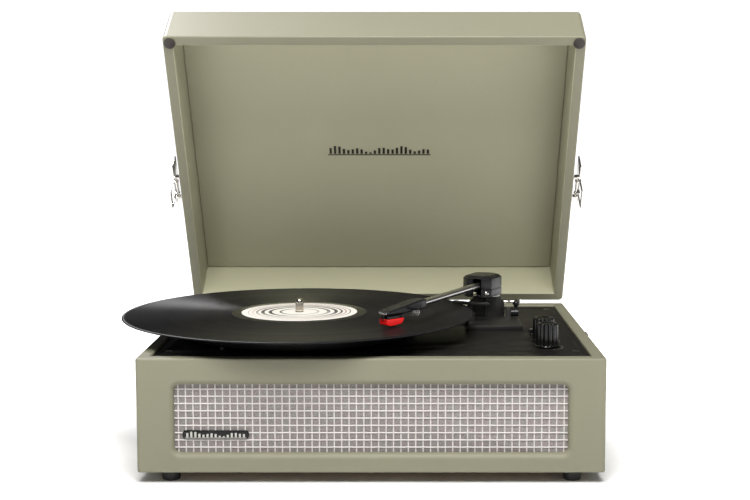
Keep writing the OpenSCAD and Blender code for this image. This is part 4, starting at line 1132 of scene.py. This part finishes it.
# A screw holds the cap's right side.
screwSizes = {"Radius": 0.0021, "Height": 0.0010, "Seed": 4}
screwAt = (0.0082, -0.0217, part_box("pivot_cap")[0][2] + 0.0034)
capScrew = runTree("capScrew", screwTree(), screwSizes, looks["nickel"], [Vector((0.0, 0.0, 0.0))])
turned(capScrew, turretFrame @ Matrix.Translation(screwAt)
       @ Matrix.Rotation(math.radians(45), 4, "Z") @ Matrix.Rotation(math.radians(90), 4, "X"))
finish(capScrew, "arm_turret", (), 35)
print("hardware dressed")

lightSizes = {
    # name: place, aim, width, height, strength, colour
    "keySoft": ((0.05, -1.05, 1.60), (0.0, 0.05, 0.15), 1.0, 0.8, 45.0, (1.0, 0.99, 0.97)),
    "frontSoft": ((0.20, -2.1, 0.50), (0.0, 0.0, 0.12), 1.4, 0.8, 1.5, (1.0, 0.99, 0.97)),
    "deckSoft": ((0.0, -0.42, 0.90), (0.0, 0.13, 0.13), 0.7, 0.3, 1.5, (1.0, 0.99, 0.97)),
    "streak": ((-0.72, 0.66, 1.25), (-0.12, -0.11, 0.115), 0.22, 0.22, 40.0, (1.0, 0.98, 0.99)),
}
stageSizes = {
    "floorHalf": 30, "floorFront": -6, "floorBack": 60,
    "paperDark": (0.84, 0.84, 0.84), "paperLight": (0.87, 0.87, 0.87),
    "clearAside": 0.16, "clearFront": 0.06, "sweep": 0.22, "glow": 1.1,
    "ground": 1.15, "fill": 0.20, "reflected": 0.08,
}
cameraSizes = {"place": (0.0261, -1.1515, 0.2920), "down": 6.18, "lens": 63.66, "shiftX": -0.0397}


def plainBackground(tree, strength):
    return addNode(tree, "ShaderNodeBackground", {"Color": (1.0, 1.0, 1.0, 1.0), "Strength": strength}).outputs[0]


def makeStage():
    s = stageSizes
    half, front, back = s["floorHalf"], s["floorFront"], s["floorBack"]
    corners = [(-half, front, 0), (half, front, 0), (half, back, 0), (-half, back, 0)]
    floor = meshPiece("floor", corners, [(0, 1, 2, 3)], None)
    material, tree, shader, place = newMaterial("floorPaper", Roughness=0.9, Specular_IOR_Level=0.1)
    grain = noiseNode(tree, place, 40.0, 2.0)
    tree.links.new(mixed(tree, grain, s["paperDark"], s["paperLight"]), shader.inputs["Base Color"])
    # The paper glows away from the player, so that it fades into the white ground behind.
    split = addNode(tree, "ShaderNodeSeparateXYZ", {0: place})
    aside = mathNode(tree, "SUBTRACT", mathNode(tree, "ABSOLUTE", split.outputs[0]), s["clearAside"])
    away = mathNode(tree, "MAXIMUM", aside, mathNode(tree, "ADD", split.outputs[1], s["clearFront"]))
    glow = addNode(tree, "ShaderNodeMapRange", {
        "Value": away, "From Min": 0.0, "From Max": s["sweep"], "To Min": 0.0, "To Max": s["glow"]},
        interpolation_type="SMOOTHSTEP").outputs[0]
    shader.inputs["Emission Color"].default_value = (1.0, 1.0, 1.0, 1.0)
    tree.links.new(glow, shader.inputs["Emission Strength"])
    floor.data.materials.clear()
    floor.data.materials.append(material)
    world = bpy.data.worlds.new("studio")
    bpy.context.scene.world = world
    world.use_nodes = True
    tree = world.node_tree
    tree.nodes.clear()
    path = addNode(tree, "ShaderNodeLightPath")
    plain, fill, dim = (plainBackground(tree, s[part]) for part in ("ground", "fill", "reflected"))
    unseen = addNode(tree, "ShaderNodeMixShader", {0: path.outputs["Is Glossy Ray"], 1: fill, 2: dim}).outputs[0]
    seen = addNode(tree, "ShaderNodeMixShader", {0: path.outputs["Is Camera Ray"], 1: unseen, 2: plain}).outputs[0]
    out = addNode(tree, "ShaderNodeOutputWorld")
    tree.links.new(seen, out.inputs["Surface"])
    for name, (spot, aim, width, height, power, colour) in lightSizes.items():
        lamp = bpy.data.lights.new(name, "AREA")
        lamp.shape, lamp.size, lamp.size_y, lamp.energy, lamp.color = "RECTANGLE", width, height, power, colour
        holder = bpy.data.objects.new(name, lamp)
        holder.location = spot
        holder.rotation_euler = (Vector(aim) - Vector(spot)).to_track_quat("-Z", "Y").to_euler()
        # The streak lamp only shows as a reflection.
        holder.visible_diffuse = name != "streak"
        bpy.context.scene.collection.objects.link(holder)


def makeCamera():
    s = cameraSizes
    camera = bpy.data.cameras.new("camera")
    camera.lens, camera.sensor_width, camera.shift_x = s["lens"], 36.0, s["shiftX"]
    camera.clip_start, camera.clip_end = 0.05, 100.0
    holder = bpy.data.objects.new("camera", camera)
    holder.location = s["place"]
    holder.rotation_euler = (math.radians(90.0 - s["down"]), 0.0, 0.0)
    bpy.context.scene.collection.objects.link(holder)
    bpy.context.scene.camera = holder


makeStage()
makeCamera()
bpy.context.scene.view_settings.view_transform = "Standard"
print("stage, lights and camera set")
